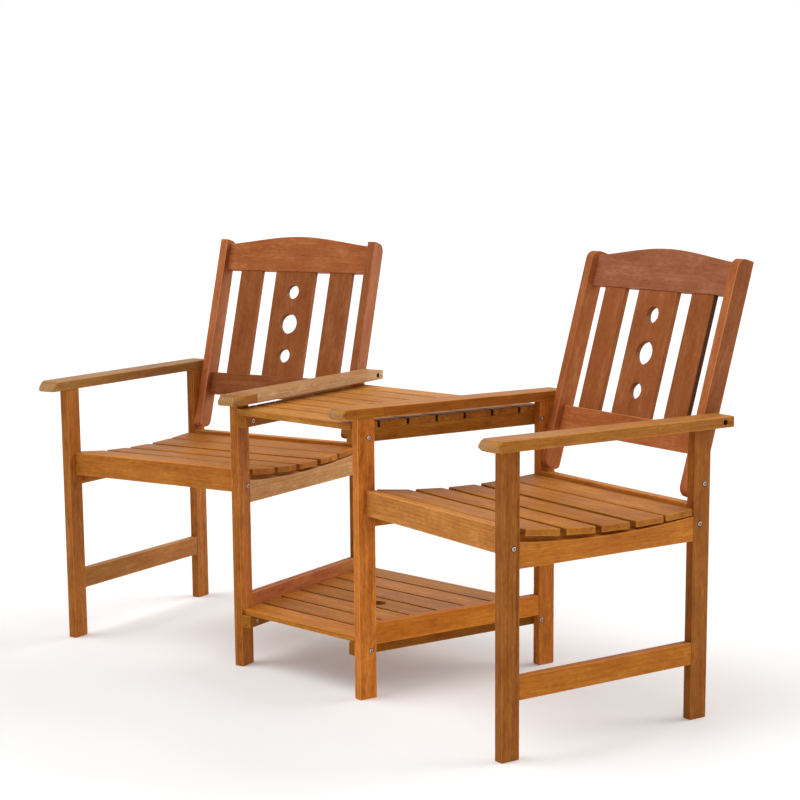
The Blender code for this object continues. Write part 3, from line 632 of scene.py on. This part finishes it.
def oiled_hardwood(piece, group, basis, along, low, high):
    """Oiled hardwood with a satin sheen. The finish follows its figure, and each board is cut from
    another place in the tree, so its rings, its tone and its hue are its own."""
    random = chance(f"{piece}_wood")
    rows = np.roll(basis.rows, -along, 0)
    if np.linalg.det(rows) < 0:
        rows[2] = -rows[2]
    lean = [math.radians(random.uniform(-LEAN_DEG, LEAN_DEG)) for _ in range(2)]
    turn = Matrix(rows.T.tolist()) @ Matrix.Rotation(lean[0], 3, "Y") @ Matrix.Rotation(lean[1], 3, "Z")
    away, angle = random.uniform(*HEART_AWAY), random.uniform(0, math.tau)
    heart = (random.uniform(-HEART_ALONG, HEART_ALONG), away * math.cos(angle), away * math.sin(angle))
    centre = (np.array(low) + np.array(high)) / 2
    material, tree, shader = add_material(f"oiled_hardwood_{piece}_wood")
    place = basis.world(centre) - np.array(turn) @ np.array(heart)
    coordinates = add_node(tree, "TexCoord")["Object"]
    joints = (*JOINTS.get(piece, ()), NO_JOINT, NO_JOINT)[:2]
    offset = low[along] - centre[along] + heart[0]
    inputs = {
        "Vector": add_node(tree, "Mapping TEXTURE", coordinates, place, turn.to_euler())[0],
        "Axis": rows[0], "Figure": FIGURE[group], "Nose": group == "arm",
        "Topside": TOPSIDE.get(piece, 1), "Joints": (joints[0][0] + offset, joints[1][0] + offset, 0),
        "Beyond": (*joints[0][1], 1), "Last": (*joints[1][1], 1),
    }
    part, _, rest = piece.partition("_")
    own = 1 + random.uniform(-1, 1) * SPREAD[group], random.uniform(-WARM_SPREAD, WARM_SPREAD)
    tone, warm = TONES.get(part, {}).get(rest, own)
    tint = np.array((tone * (1 + warm / 2), tone, tone * (1 - 2 * warm)))
    for shade in SHADES:
        colour = np.array(getattr(bpy.context.scene.bench_finish, f"{group}_{shade}")) * tint
        inputs[shade.capitalize()] = (*np.clip(colour, 0, 1), 1)
    group_tree = bpy.data.node_groups["oiled_hardwood_figure"]
    figure = add_node(tree, "Group", named=inputs, node_tree=group_tree)
    relief = {"Strength": 0.2, "Distance": 0.0006, "Height": figure["Height"]}
    # The oil warms what it mirrors, except at a grazing angle
    fill(shader, {
        "Base Color": figure["Color"], "Roughness": figure["Roughness"],
        "Normal": add_node(tree, "Bump", named=relief)[0], "IOR": 1.46,
        "Specular IOR Level": SHEEN[group], "Specular Tint": (*linear("#FFC890"), 1),
    })
    return material


def zinc_plated_steel():
    """Zinc-plated steel of the bolt heads: bright, with the fine cloudy spangle that plating leaves, so
    the eye sees small hard glints in the soft wood."""
    material = bpy.data.materials.get("zinc_plated_steel")
    if material:
        return material
    material, tree, shader = add_material("zinc_plated_steel")
    # Spangle of the plating, about 1 mm
    cloud = add_node(tree, "TexNoise", add_node(tree, "TexCoord")["Object"], 900, 2)[0]
    greys = [(*linear(code), 1) for code in ("#9C9A96", "#D8D5CF")]
    colour = add_node(tree, "Mix RGBA MIX", cloud, *greys)[2]
    rough = add_node(tree, "MapRange", cloud, 0, 1, 0.14, 0.3)[0]
    fill(shader, {"Base Color": colour, "Roughness": rough, "Metallic": 1})
    return material


def add_mesh(name, points, faces, material):
    """Mesh object at the origin, shaded smooth up to its sharp edges."""
    mesh = bpy.data.meshes.new(name)
    mesh.from_pydata(points.tolist(), [], faces)
    mesh.materials.append(material)
    mesh.shade_smooth()
    mesh.set_sharp_from_angle(angle=math.radians(SHARP_DEG))
    made = bpy.data.objects.new(name, mesh)
    bpy.context.scene.collection.objects.link(made)
    return made


def add_board(piece, group, basis, along, low, high, edge=None, butts=None, stands_for=None, **shape):
    """Dressed board in oiled hardwood. It stands for the CAD node of its name, or for another one."""
    sizes = bpy.context.scene.bench_sizes
    edge = edge or sizes.edge_round
    butts = butts or (sizes.butt_round, sizes.butt_round)
    # Painted shade on the sides of the boards listed for it
    shape.setdefault("pooled", PAINTED_SIDE_SHADES.get(piece, (0, 0)))
    points, faces, wear = board(basis, along, low, high, edge, butts, **shape)
    made = add_mesh(f"{piece}_wood", points, faces, oiled_hardwood(piece, group, basis, along, low, high))
    # Marks of rubbing and painted highlight on the edges, and of painted shade on the sides
    made.data.attributes.new("wear", "FLOAT", "POINT").data.foreach_set("value", wear)
    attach(made, "root")
    if stands_for or piece in frame["nodes"]:
        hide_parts(stands_for or piece)
    return made


def darken_walls(piece, holes, bored):
    """Corner attribute of painted shade in holes: that amount on the walls of the holes, and none on
    the dressed faces.
    """
    faces = piece.data.polygons
    centres, normals = read(faces, "center", 3), read(faces, "normal", 3)
    wall = np.zeros(len(faces), bool)
    for start, end, diameter in holes:
        axis, offset = unit(end - start), centres - start
        along = offset @ axis
        away = np.linalg.norm(offset - along[:, None] * axis, axis=1)
        within = (along > 0) & (along < np.linalg.norm(end - start)) & (away < diameter / 2 * WALL_REACH)
        wall |= within & (np.abs(normals @ axis) < WALL_LEAN)
    corners = read(faces, "loop_total", 1, int)[:, 0]
    values = piece.data.attributes.new("bored", "FLOAT", "CORNER").data
    values.foreach_set("value", np.repeat(wall * bored, corners))


def drill(piece, holes, bored=0.4):
    """Cut round bars, each given by its two ends and its diameter, out of a piece, and paint shade on
    the walls of the holes.
    """
    for start, end, diameter in holes:
        cutter = add_mesh("drill", *round_bar(start, end, diameter / 2), piece.data.materials[0])
        modifier = piece.modifiers.new("drilled", "BOOLEAN")
        modifier.operation = "DIFFERENCE"
        modifier.solver = "EXACT"
        modifier.object = cutter
        with bpy.context.temp_override(object=piece, active_object=piece, selected_objects=[piece]):
            bpy.ops.object.modifier_apply(modifier=modifier.name)
        bpy.data.objects.remove(cutter)
    darken_walls(piece, holes, bored)
    eased = piece.modifiers.new("eased_rims", "BEVEL")
    eased.width = bpy.context.scene.bench_sizes.rim_ease
    eased.segments = 2
    eased.limit_method = "ANGLE"
    eased.angle_limit = math.radians(RIM_DEG)
    piece.modifiers.new("flat_faces", "WEIGHTED_NORMAL").keep_sharp = True


def round_bar(start, end, radius):
    """Bar between two points: each ring is centre + radius * (cos, sin) across the axis."""
    axis = unit(end - start)
    side = unit(np.cross(axis, UP if abs(axis[2]) < UPRIGHT else ASIDE))
    other = np.cross(axis, side)
    turn = np.linspace(0, math.tau, HOLE_STEPS, endpoint=False)[:, None]
    ring = radius * (np.cos(turn) * side + np.sin(turn) * other)
    return np.concatenate((start + ring, end + ring)), grid_faces(2, HOLE_STEPS)


def corner_cut(distance, radius):
    """How far a round corner of that radius draws a side in, at a distance from the end."""
    inside = np.clip(radius - distance, 0, radius)
    return radius - np.sqrt(radius ** 2 - inside ** 2)


def nose_edge(reach, radius, cut, plain):
    """Radius of the edge along a clipped corner: it grows with the root of reach and height over the
    nose's own round, and past the clip's depth it falls back to the plain edge."""
    inside = np.clip(reach, 0, radius)
    grown = np.sqrt(inside * np.hypot(*cut) / cut[1] * np.sqrt(radius ** 2 - (radius - inside) ** 2))
    share = np.clip((reach - cut[1]) / NOSE_BLEND, 0, 1)
    return np.maximum(grown * (1 - share * share * (3 - 2 * share)), plain)


def shaped_stations(low, high, near):
    """Stations of a shaped board: even ones, and closer ones over that length at each end."""
    turn = 1 - np.cos(np.linspace(0, math.pi / 2, NOSE_STEPS))
    even = np.linspace(low, high, SHAPED_STATIONS)
    return np.unique(np.concatenate((even, low + near * turn, high - near * turn)))


def bow(stations, low, high, rise):
    """Height of a shallow round arc over its chord: the root of radius and station, less its depth."""
    half = (high - low) / 2
    radius = (half * half + rise * rise) / (2 * rise)
    offset = stations - (low + high) / 2
    return rise - (radius - np.copysign(np.sqrt(np.maximum(radius ** 2 - offset ** 2, 0)), radius))


def leg_gaps(basis, side, sizes):
    """Room from the front to the rear legs, as its start and end, and the height under the arms."""
    front = basis.box(f"{side}_inner_front_leg")[1][1]
    rear = basis.box(f"{side}_inner_rear_leg")[0][1]
    arm = basis.box(f"{side}_inner_arm")[0][2]
    return front + sizes.fit_gap, rear - sizes.fit_gap, arm - sizes.fit_gap


class BENCH_OT_legs(bpy.types.Operator):
    """Add the eight legs and the four low stretchers"""

    bl_idname = "bench.legs"
    bl_label = "Legs and stretchers"

    def execute(self, context):
        sizes = context.scene.bench_sizes
        for side in SIDES:
            basis = chair_basis(side)
            start, end, top = leg_gaps(basis, side, sizes)
            for row in ROWS:
                for place in PLACES:
                    node = f"{side}_{row}_{place}_leg"
                    low, high = basis.box(node)
                    high[2] = top
                    add_board(node, "leg", basis, 2, low, high, butts=(sizes.edge_round, sizes.butt_round))
                node = f"{side}_{row}_stretcher"
                low, high = basis.box(node)
                low[1], high[1] = start, end
                add_board(node, "rail", basis, 1, low, high)
        return {"FINISHED"}


def add_side_rail(basis, side, row, beds, sizes):
    """Dished rail outside, and inside it the bearer whose top edge follows the slats' undersides."""
    node = f"{side}_{row}_side_rail"
    low, high = basis.box(node)
    start, end = leg_gaps(basis, side, sizes)[:2]
    rail_low, rail_high, bearer_low, bearer_high = low.copy(), high.copy(), low.copy(), high.copy()
    if row == "inner":
        rail_high[0] = low[0] + sizes.side_rail_thickness
        bearer_low[0] = rail_high[0] + sizes.fit_gap
    else:
        rail_low[0] = high[0] - sizes.side_rail_thickness
        bearer_high[0] = rail_low[0] - sizes.fit_gap
    rail_low[1], rail_high[1] = start, end
    bearer_low[1], bearer_high[1] = start + BEARER_REVEAL, end - BEARER_REVEAL
    bottom = low[2] + sizes.side_rail_height * BEARER_SHARE
    rail_high[2] = bearer_high[2] = low[2] + sizes.side_rail_height
    inner = shaped_stations(start, end, sizes.edge_round)
    slopes = [(bed[1][2] - bed[0][2]) / (bed[1][1] - bed[0][1]) for bed in beds]

    def rail_bounds(stations):
        top = rail_high[2] + bow(stations, start, end, -sizes.side_rail_dish)
        return low[2], top, rail_low[0], rail_high[0]

    def bearer_bounds(stations):
        tops = [bed[0][2] + (stations - bed[0][1]) * slope for bed, slope in zip(beds, slopes)]
        return bottom, np.max(tops, 0) - sizes.fit_gap, bearer_low[0], bearer_high[0]

    add_board(node, "rail", basis, 1, rail_low, rail_high, bounds=rail_bounds, inner=inner)
    add_board(
        f"{side}_{row}_seat_bearer", "rail", basis, 1, bearer_low, bearer_high, sizes.edge_round / 2,
        bounds=bearer_bounds, inner=inner,
    )


class BENCH_OT_seats(bpy.types.Operator):
    """Add the seat frames and their dished slats"""

    bl_idname = "bench.seats"
    bl_label = "Seats"

    def execute(self, context):
        sizes = context.scene.bench_sizes
        edge = sizes.slat_round
        for side in SIDES:
            basis = chair_basis(side)
            for place in PLACES:
                node = f"{side}_{place}_rail"
                add_board(node, "rail", basis, 0, *basis.box(node))
            beds = []
            for node in nodes_named(f"{side}_seat_slat_"):
                tilted = basis.tilted(node)
                low, high = tilted.box(node)
                # Painted shade on the slats' sides in the gaps between them
                add_board(node, "seat", tilted, 0, low, high, edge, (edge, edge), pooled=(1, 1))
                beds.append(basis.local(tilted.world(np.array((low, (low[0], high[1], low[2]))))))
            for row in ROWS:
                add_side_rail(basis, side, row, beds, sizes)
        return {"FINISHED"}


def arm_recess(basis, side, row, sizes):
    """Bottom and mouth of the bolt recess in an arm's outer face, and the sign of the way out of it."""
    low, high = basis.box(f"{side}_{row}_arm")
    outward, face = (-1, low[0]) if row == "inner" else (1, high[0])
    mouth = np.array((face, high[1] - sizes.arm_bolt_from_end, (low[2] + high[2]) / 2))
    return mouth - np.array((outward * sizes.counterbore_depth, 0, 0)), mouth, outward


def add_arm(basis, side, row, sizes):
    """Arm whose nose draws in over and under along round corners, and at its sides along its clips."""
    node = f"{side}_{row}_arm"
    low, high = basis.box(node)
    if side == "left":
        nose, over, under = sizes.left_nose_round, sizes.left_clip_round, sizes.butt_round
    else:
        nose, over, under = sizes.right_nose_round, sizes.right_nose_round, sizes.right_nose_under_round
    # Clipped corners of the low side and the high side. The outer clip is the one away from the sitter
    places = ("outer", "inner") if row == "inner" else ("inner", "outer")
    clips = [tuple(getattr(sizes, f"{side}_{place}_clip")) for place in places]

    def bounds(stations):
        reach = stations - low[1]
        drawn = [width * np.clip(1 - reach / depth, 0, 1) for width, depth in clips]
        height = low[2] + corner_cut(reach, under), high[2] - corner_cut(reach, nose)
        return *height, low[0] + drawn[0], high[0] - drawn[1]

    def edges(stations):
        corners = ((over, clips[1]), (under, clips[1]), (under, clips[0]), (over, clips[0]))
        return np.array([nose_edge(stations - low[1], *corner, sizes.edge_round) for corner in corners])

    near = np.linspace(low[1], low[1] + max(clips[0][1], clips[1][1]) + NOSE_BLEND, NOSE_STEPS * 2)
    depths = [low[1] + depth for width, depth in clips]
    inner = np.unique(np.concatenate((shaped_stations(low[1], high[1], nose), near, depths)))
    butts = (sizes.edge_round / 2, sizes.edge_round)
    arm = add_board(node, "arm", basis, 1, low, high, edges, butts, bounds=bounds, inner=inner)
    bottom, mouth, outward = arm_recess(basis, side, row, sizes)
    outside = mouth + np.array((outward * nose, 0, 0))
    # The deep recess gets the full painted shade on its walls
    drill(arm, [(basis.world(outside), basis.world(bottom), sizes.counterbore_diameter)], bored=1)


class BENCH_OT_arms(bpy.types.Operator):
    """Add the four arms with their rounded noses, clipped corners and bolt recesses"""

    bl_idname = "bench.arms"
    bl_label = "Arms"

    def execute(self, context):
        for side in SIDES:
            for row in ROWS:
                add_arm(chair_basis(side), side, row, context.scene.bench_sizes)
        return {"FINISHED"}


def add_stile(basis, node, sizes):
    """Stile whose front and rear faces draw in along round corners at its foot and its top.

    The well-rounded edge is the rear one on the left chair and the front one on the right."""
    low, high = basis.box(node)

    def bounds(stations):
        foot, top = stations - low[2], high[2] - stations
        well = corner_cut(foot, sizes.stile_tail_round) + corner_cut(top, sizes.stile_top_round)
        barely = corner_cut(foot, sizes.stile_tail_ease) + corner_cut(top, sizes.stile_top_ease)
        front, rear = (barely, well) if node.startswith("left") else (well, barely)
        return low[0], high[0], low[1] + front, high[1] - rear

    inner = shaped_stations(low[2], high[2], sizes.stile_top_round)
    butts = (sizes.edge_round / 2, sizes.edge_round / 2)
    add_board(node, "back", basis, 2, low, high, butts=butts, bounds=bounds, inner=inner)


def drill_splat(basis, slat, low, high, sizes):
    """Three round holes through the splat, a large one between two smaller ones."""
    small = sizes.splat_small_hole_diameter
    holes = []
    for step, diameter in ((-1, small), (0, sizes.splat_hole_diameter), (1, small)):
        height = sizes.splat_hole_height + step * sizes.splat_small_hole_spacing
        ends = [((low[0] + high[0]) / 2, depth, height) for depth in (low[1] - small, high[1] + small)]
        holes.append((*basis.world(np.array(ends)), diameter))
    drill(slat, holes)


def add_back(side, sizes):
    """Stiles, and between them the crest rail, the lower rail, the slats and the splat."""
    basis = back_basis(side, sizes)
    for row in ROWS:
        add_stile(basis, f"{side}_{row}_back_stile", sizes)
    inner = basis.box(f"{side}_inner_back_stile")[1][0] + sizes.fit_gap
    outer = basis.box(f"{side}_outer_back_stile")[0][0] - sizes.fit_gap

    crest, lower = (basis.box(f"{side}_{name}") for name in ("crest_rail", "lower_back_rail"))
    for low, high in (crest, lower):
        low[0], high[0] = inner, outer

    def crest_bounds(stations):
        low, high = crest
        arch = bow(stations, inner, outer, sizes.crest_rise)
        swell = sizes.crest_rise * np.sin(math.pi * (stations - inner) / (outer - inner)) ** 2
        return low[1], high[1], low[2], high[2] - sizes.crest_arch + (arch + swell) / 2

    stations = shaped_stations(inner, outer, sizes.edge_round)
    add_board(f"{side}_crest_rail", "back", basis, 0, *crest, bounds=crest_bounds, inner=stations)
    add_board(f"{side}_lower_back_rail", "back", basis, 0, *lower)
    for name in ("inner_back_slat", "outer_back_slat", "splat"):
        node = f"{side}_{name}"
        low, high = basis.box(node)
        low[2], high[2] = lower[1][2] + sizes.fit_gap, crest[0][2] - sizes.fit_gap
        high[1] += sizes.back_slat_swell
        slat = add_board(node, "back", basis, 2, low, high, sizes.edge_round / 2)
        if name == "splat":
            drill_splat(basis, slat, low, high, sizes)


class BENCH_OT_backs(bpy.types.Operator):
    """Add the leaning backs: stiles, rails, slats and the splat with its holes"""

    bl_idname = "bench.backs"
    bl_label = "Backs"

    def execute(self, context):
        for side in SIDES:
            add_back(side, context.scene.bench_sizes)
        return {"FINISHED"}


def add_wedge_slat(piece, low, high, sizes, number, count, stands_for=None):
    """Slat of the table or the shelf, with the parasol's hole in the middle one. Its ends are moved to
    lie along the slanting legs: half its length is the room at the leg's front and the slant's share."""
    basis = chair_basis("right")

    def room(depth):
        inward = basis.origin[0] - sizes.fit_gap / basis.rows[0][0]
        return inward + (depth - basis.origin[1]) * basis.rows[1][0] / basis.rows[1][1]

    def bend(points):
        moved, reach = points.copy(), np.abs(points[:, 0])
        ends = np.sign(points[:, 0]) * (reach - half + room(points[:, 1]))
        moved[:, 0] = np.where(reach > half / 2, ends, points[:, 0])
        return moved

    half = room((low[1] + high[1]) / 2)
    low[0], high[0] = -half, half
    # Painted shade on the sides that face a neighbouring slat
    slat = add_board(
        piece, "table", WORLD, 0, low, high, sizes.table_slat_round, stands_for=stands_for, bend=bend,
        inner=(-half * STRAIGHT_SHARE, half * STRAIGHT_SHARE),
        pooled=(PAINTED_GAP_SHADE * (number > 0), PAINTED_GAP_SHADE * (number < count - 1)),
    )
    if number == count // 2:
        depth, past = basis.origin[1] + sizes.parasol_back, sizes.edge_round
        ends = [np.array((0, depth, height)) for height in (low[2] - past, high[2] + past)]
        drill(slat, [(*ends, sizes.parasol_hole_diameter)])


class BENCH_OT_table(bpy.types.Operator):
    """Add the slatted tabletop with its parasol hole, and the aprons under it"""

    bl_idname = "bench.table"
    bl_label = "Table"

    def execute(self, context):
        sizes = context.scene.bench_sizes
        slats = nodes_named("table_slat_")
        for number, node in enumerate(slats):
            add_wedge_slat(node, *map(np.array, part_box(node)), sizes, number, len(slats))
        edge = sizes.edge_round
        for side in SIDES:
            basis = chair_basis(side)
            node = f"table_apron_{side}"
            add_board(node, "table", basis, 1, *basis.box(node), butts=(edge, edge))
        return {"FINISHED"}


class BENCH_OT_shelf(bpy.types.Operator):
    """Add the slats and battens of the shelf"""

    bl_idname = "bench.shelf"
    bl_label = "Shelf"

    def execute(self, context):
        sizes = context.scene.bench_sizes
        low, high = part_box("shelf_panel")
        legs = chair_basis("right").origin[1]
        front, rear = legs + sizes.shelf_front, legs + sizes.shelf_rear
        count, gap, edge = sizes.shelf_slats, sizes.fit_gap, sizes.edge_round
        width = (rear - front - sizes.shelf_gap * (count - 1)) / count
        underside = high[2] - sizes.shelf_slat_thickness
        for number in range(count):
            start = front + number * (width + sizes.shelf_gap)
            box = np.array((low[0], start, underside)), np.array((high[0], start + width, high[2]))
            stands_for = "shelf_panel" if number == 0 else None
            add_wedge_slat(f"shelf_slat_{number + 1}", *box, sizes, number, count, stands_for)
        for side in SIDES:
            basis = chair_basis(side)
            end = basis.box(f"{side}_inner_rear_leg")[1][1]
            box = (-gap - sizes.batten_width, 0, low[2]), (-gap, end, underside - gap)
            add_board(f"shelf_batten_{side}", "table", basis, 1, *box, butts=(edge, edge))
        return {"FINISHED"}


def bolt_head(centre, outward, sizes, threaded):
    """Flat steel head: a disc of rings and spokes whose height falls in a quarter circle at the rim.
    It drops by the socket's depth where the widest of a point's three distances across the flats is
    less than half the socket's width. A threaded end has a round bore instead."""
    radius = sizes.bolt_diameter / 2
    ring = np.linspace(0, 1, BOLT_RINGS + 1)[1:, None]
    turn = np.linspace(0, math.tau, BOLT_SPOKES, endpoint=False)[None, :]
    x, y = radius * ring * np.cos(turn), radius * ring * np.sin(turn)
    rim, wall = radius * RIM_SHARE, radius * WALL_SHARE
    outside = np.clip((radius * ring - (radius - rim)) / rim, 0, 1)
    height = rim * (np.sqrt(1 - outside ** 2) - 1) * np.ones_like(turn)
    flats = [np.abs(x * math.cos(angle) + y * math.sin(angle)) for angle in (0, math.pi / 3, math.tau / 3)]
    reach = radius * ring * np.ones_like(turn) if threaded else np.max(flats, 0)
    height = height - sizes.bolt_socket_depth * np.clip((sizes.bolt_socket / 2 + wall - reach) / wall, 0, 1)
    height = np.concatenate((height, np.full((1, BOLT_SPOKES), -sizes.bolt_sink)))
    x, y = np.concatenate((x, x[-1:])), np.concatenate((y, y[-1:]))
    side = unit(np.cross(outward, UP))
    other = np.cross(outward, side)
    grid = centre + x[..., None] * side + y[..., None] * other + height[..., None] * outward
    return grid.reshape(-1, 3), [face[::-1] for face in grid_faces(BOLT_RINGS + 1, BOLT_SPOKES)]


def add_bolt(name, basis, place, outward, sizes, threaded=False):
    """Bolt head that stands a little out of the wood at its place, seen along the chair's width."""
    out = basis.rows[0] * outward
    points, faces = bolt_head(basis.world(place) + out * sizes.bolt_stand, out, sizes, threaded)
    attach(add_mesh(name, points, faces, zinc_plated_steel()), "root")


# Depth behind the front legs' front, and height, of the bolts in each face
OUTER_BOLTS = ((0.028, 0.4066), (0.4875, 0.4007), (0.4985, 0.48))
INNER_BOLTS = ((0.033, 0.405), (0.4875, 0.4007), (0.4985, 0.48))
APRON_BOLTS = ((0.028, 0.554), (0.478, 0.557))
BATTEN_BOLTS = ((0.028, 0.103), (0.478, 0.104))


def sink_bolts(leg, basis, bolts, sizes):
    """Sink the bolt heads of a leg in recesses, each at its own place with its own outward sign."""
    width = sizes.bolt_diameter + 2 * sizes.bolt_clearance
    holes = []
    for place, outward in bolts:
        step = np.array((outward, 0, 0))
        ends = place + step * sizes.bolt_diameter, place - step * sizes.bolt_sink
        holes.append((basis.world(ends[0]), basis.world(ends[1]), width))
    drill(bpy.data.objects[f"{leg}_wood"], holes)
    for number, (place, outward) in enumerate(bolts, 1):
        add_bolt(f"{leg}_bolt_{number}", basis, place, outward, sizes)


def add_thread_ends(basis, side, part, piece, places, sizes):
    """Threaded ends that show in the inner face of an apron or a batten, opposite the bolts."""
    points = read(bpy.data.objects[f"{piece}_wood"].data.vertices, "co", 3)
    face = basis.local(points)[:, 0].min()
    for number, (back, height) in enumerate(places, 1):
        place = np.array((face, back, height))
        add_bolt(f"{side}_{part}_thread_{number}", basis, place, -1, sizes, threaded=True)


class BENCH_OT_bolts(bpy.types.Operator):
    """Add the sunk bolt heads in the legs and arms, and the threaded ends in aprons and battens"""

    bl_idname = "bench.bolts"
    bl_label = "Bolts"

    def execute(self, context):
        sizes = context.scene.bench_sizes
        for side in SIDES:
            basis = chair_basis(side)
            outer = basis.box(f"{side}_outer_front_leg")[1][0]
            inner = basis.box(f"{side}_inner_front_leg")
            middle = (inner[0][1] + basis.box(f"{side}_inner_rear_leg")[1][1]) / 2
            groups = (
                ("outer", outer, 1, OUTER_BOLTS),
                ("inner", inner[0][0], -1, INNER_BOLTS),
                ("inner", inner[1][0], 1, APRON_BOLTS + BATTEN_BOLTS),
            )
            for row in ROWS:
                for place, front in (("front", True), ("rear", False)):
                    bolts = [
                        (np.array((face, back, height)), outward)
                        for group, face, outward, places in groups
                        for back, height in places
                        if group == row and (back < middle) == front
                    ]
                    sink_bolts(f"{side}_{row}_{place}_leg", basis, bolts, sizes)
            add_thread_ends(basis, side, "apron", f"table_apron_{side}", APRON_BOLTS, sizes)
            add_thread_ends(basis, side, "batten", f"shelf_batten_{side}", BATTEN_BOLTS, sizes)
            for row in ROWS:
                bottom, _, outward = arm_recess(basis, side, row, sizes)
                add_bolt(f"{side}_{row}_arm_bolt", basis, bottom, outward, sizes)
        return {"FINISHED"}


def seen_rays(tree):
    """One for what the camera sees, straight or by way of gloss and glass, and none for other rays."""
    path = add_node(tree, "LightPath")
    seen = path["Is Camera Ray"]
    for kind in ("Is Glossy Ray", "Is Transmission Ray"):
        seen = add_node(tree, "Math MAXIMUM", seen, path[kind])[0]
    return seen


def add_floor(studio):
    """White paper floor. Lifted for the camera and for reflections alone, it keeps the soft shadow."""
    far = FLOOR_REACH
    mesh = bpy.data.meshes.new("floor")
    mesh.from_pydata([(-far, -far, 0), (far, -far, 0), (far, far, 0), (-far, far, 0)], [], [(0, 1, 2, 3)])
    floor = bpy.data.objects.new("floor", mesh)
    bpy.context.scene.collection.objects.link(floor)
    material, tree, shader = add_material("white_paper_floor")
    lift = add_node(tree, "Math MULTIPLY", seen_rays(tree), studio.floor_lift)[0]
    fill(shader, {
        "Base Color": (0.82, 0.82, 0.82, 1), "Roughness": 0.9, "Specular IOR Level": 0,
        "Emission Color": (1, 1, 1, 1), "Emission Strength": lift,
    })
    mesh.materials.append(material)


def add_world(context, studio):
    """White all round for the camera, and a plain soft light for the bench."""
    context.scene.world = bpy.data.worlds.new("white_studio")
    context.scene.world.use_nodes = True
    tree = context.scene.world.node_tree
    strength = add_node(tree, "MapRange", seen_rays(tree), 0, 1, studio.room_light, 1)[0]
    fill(tree.nodes["Background"], {"Color": (1, 1, 1, 1), "Strength": strength})


# Direction of each lamp from the bench, and how wide it is in degrees
LAMPS = {
    "key": ((-0.35, -0.45, 1.1), 40),
    "rear": ((0.35, 0.85, 0.4), 50),
    "rim": ((-0.7, 0.7, 0.35), 50),
    "fill": ((1.0, -0.3, 0.35), 60),
}


def add_lamp(name, toward, spread, strength):
    """Broad even lamp far away in that direction."""
    data = bpy.data.lights.new(name, "SUN")
    data.angle = math.radians(spread)
    data.energy = strength
    lamp = bpy.data.objects.new(name, data)
    back = unit(np.array(toward))
    side = unit(np.cross(UP, back))
    rows = np.stack((side, np.cross(back, side), back)).T
    lamp.matrix_world = Matrix(rows.tolist()).to_4x4()
    bpy.context.scene.collection.objects.link(lamp)


def add_camera(context, studio):
    """Camera of the photograph's view: turned left, dipped, rolled, with the lens raised."""
    turn, dip, roll = (math.radians(v) for v in (studio.camera_turn, studio.camera_dip, studio.camera_roll))
    ahead = np.array((-math.sin(turn) * math.cos(dip), math.cos(turn) * math.cos(dip), -math.sin(dip)))
    right = np.array((math.cos(turn), math.sin(turn), 0))
    up = np.cross(right, ahead)
    rolled = math.cos(roll) * right + math.sin(roll) * up, math.cos(roll) * up - math.sin(roll) * right
    data = bpy.data.cameras.new("camera")
    data.sensor_width = SENSOR_MM
    data.lens = studio.camera_lens
    data.shift_y = studio.camera_rise
    camera = bpy.data.objects.new("camera", data)
    turned = Matrix(np.stack((*rolled, -ahead)).T.tolist()).to_4x4()
    camera.matrix_world = Matrix.Translation(studio.camera_place) @ turned
    context.scene.collection.objects.link(camera)
    context.scene.camera = camera


class BENCH_OT_studio(bpy.types.Operator):
    """Add the pale floor, the lamps and the camera"""

    bl_idname = "bench.studio"
    bl_label = "Studio"

    def execute(self, context):
        studio = context.scene.bench_studio
        add_floor(studio)
        add_world(context, studio)
        for name, (toward, spread) in LAMPS.items():
            add_lamp(name, toward, spread, getattr(studio, f"{name}_strength"))
        add_camera(context, studio)
        context.scene.view_settings.view_transform = "Standard"
        return {"FINISHED"}


STEPS = (
    BENCH_OT_legs, BENCH_OT_seats, BENCH_OT_arms, BENCH_OT_backs, BENCH_OT_table, BENCH_OT_shelf,
    BENCH_OT_bolts, BENCH_OT_studio,
)


class BENCH_PT_panel(bpy.types.Panel):
    """Panel that lists the bench's steps, sizes and colours"""

    bl_idname = "BENCH_PT_panel"
    bl_label = "Companion bench"
    bl_space_type = "VIEW_3D"
    bl_region_type = "UI"
    bl_category = "Bench"

    def draw(self, context):
        for step in STEPS:
            self.layout.operator(step.bl_idname)
        for name, kind in GROUPS.items():
            box = self.layout.box()
            for prop in kind.__annotations__:
                box.prop(getattr(context.scene, name), prop)


GROUPS = {"bench_sizes": BenchSizes, "bench_finish": BenchFinish, "bench_studio": BenchStudio}
CLASSES = (*GROUPS.values(), *STEPS, BENCH_PT_panel)


def register():
    for kind in CLASSES:
        bpy.utils.register_class(kind)
    for name, kind in GROUPS.items():
        setattr(bpy.types.Scene, name, PointerProperty(type=kind))


def unregister():
    for name in GROUPS:
        delattr(bpy.types.Scene, name)
    for kind in reversed(CLASSES):
        bpy.utils.unregister_class(kind)


def main():
    register()
    grain_group()
    for step in (
        bpy.ops.bench.legs, bpy.ops.bench.seats, bpy.ops.bench.arms, bpy.ops.bench.backs,
        bpy.ops.bench.table, bpy.ops.bench.shelf, bpy.ops.bench.bolts, bpy.ops.bench.studio,
    ):
        step()
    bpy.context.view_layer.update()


if __name__ == "__main__":
    main()
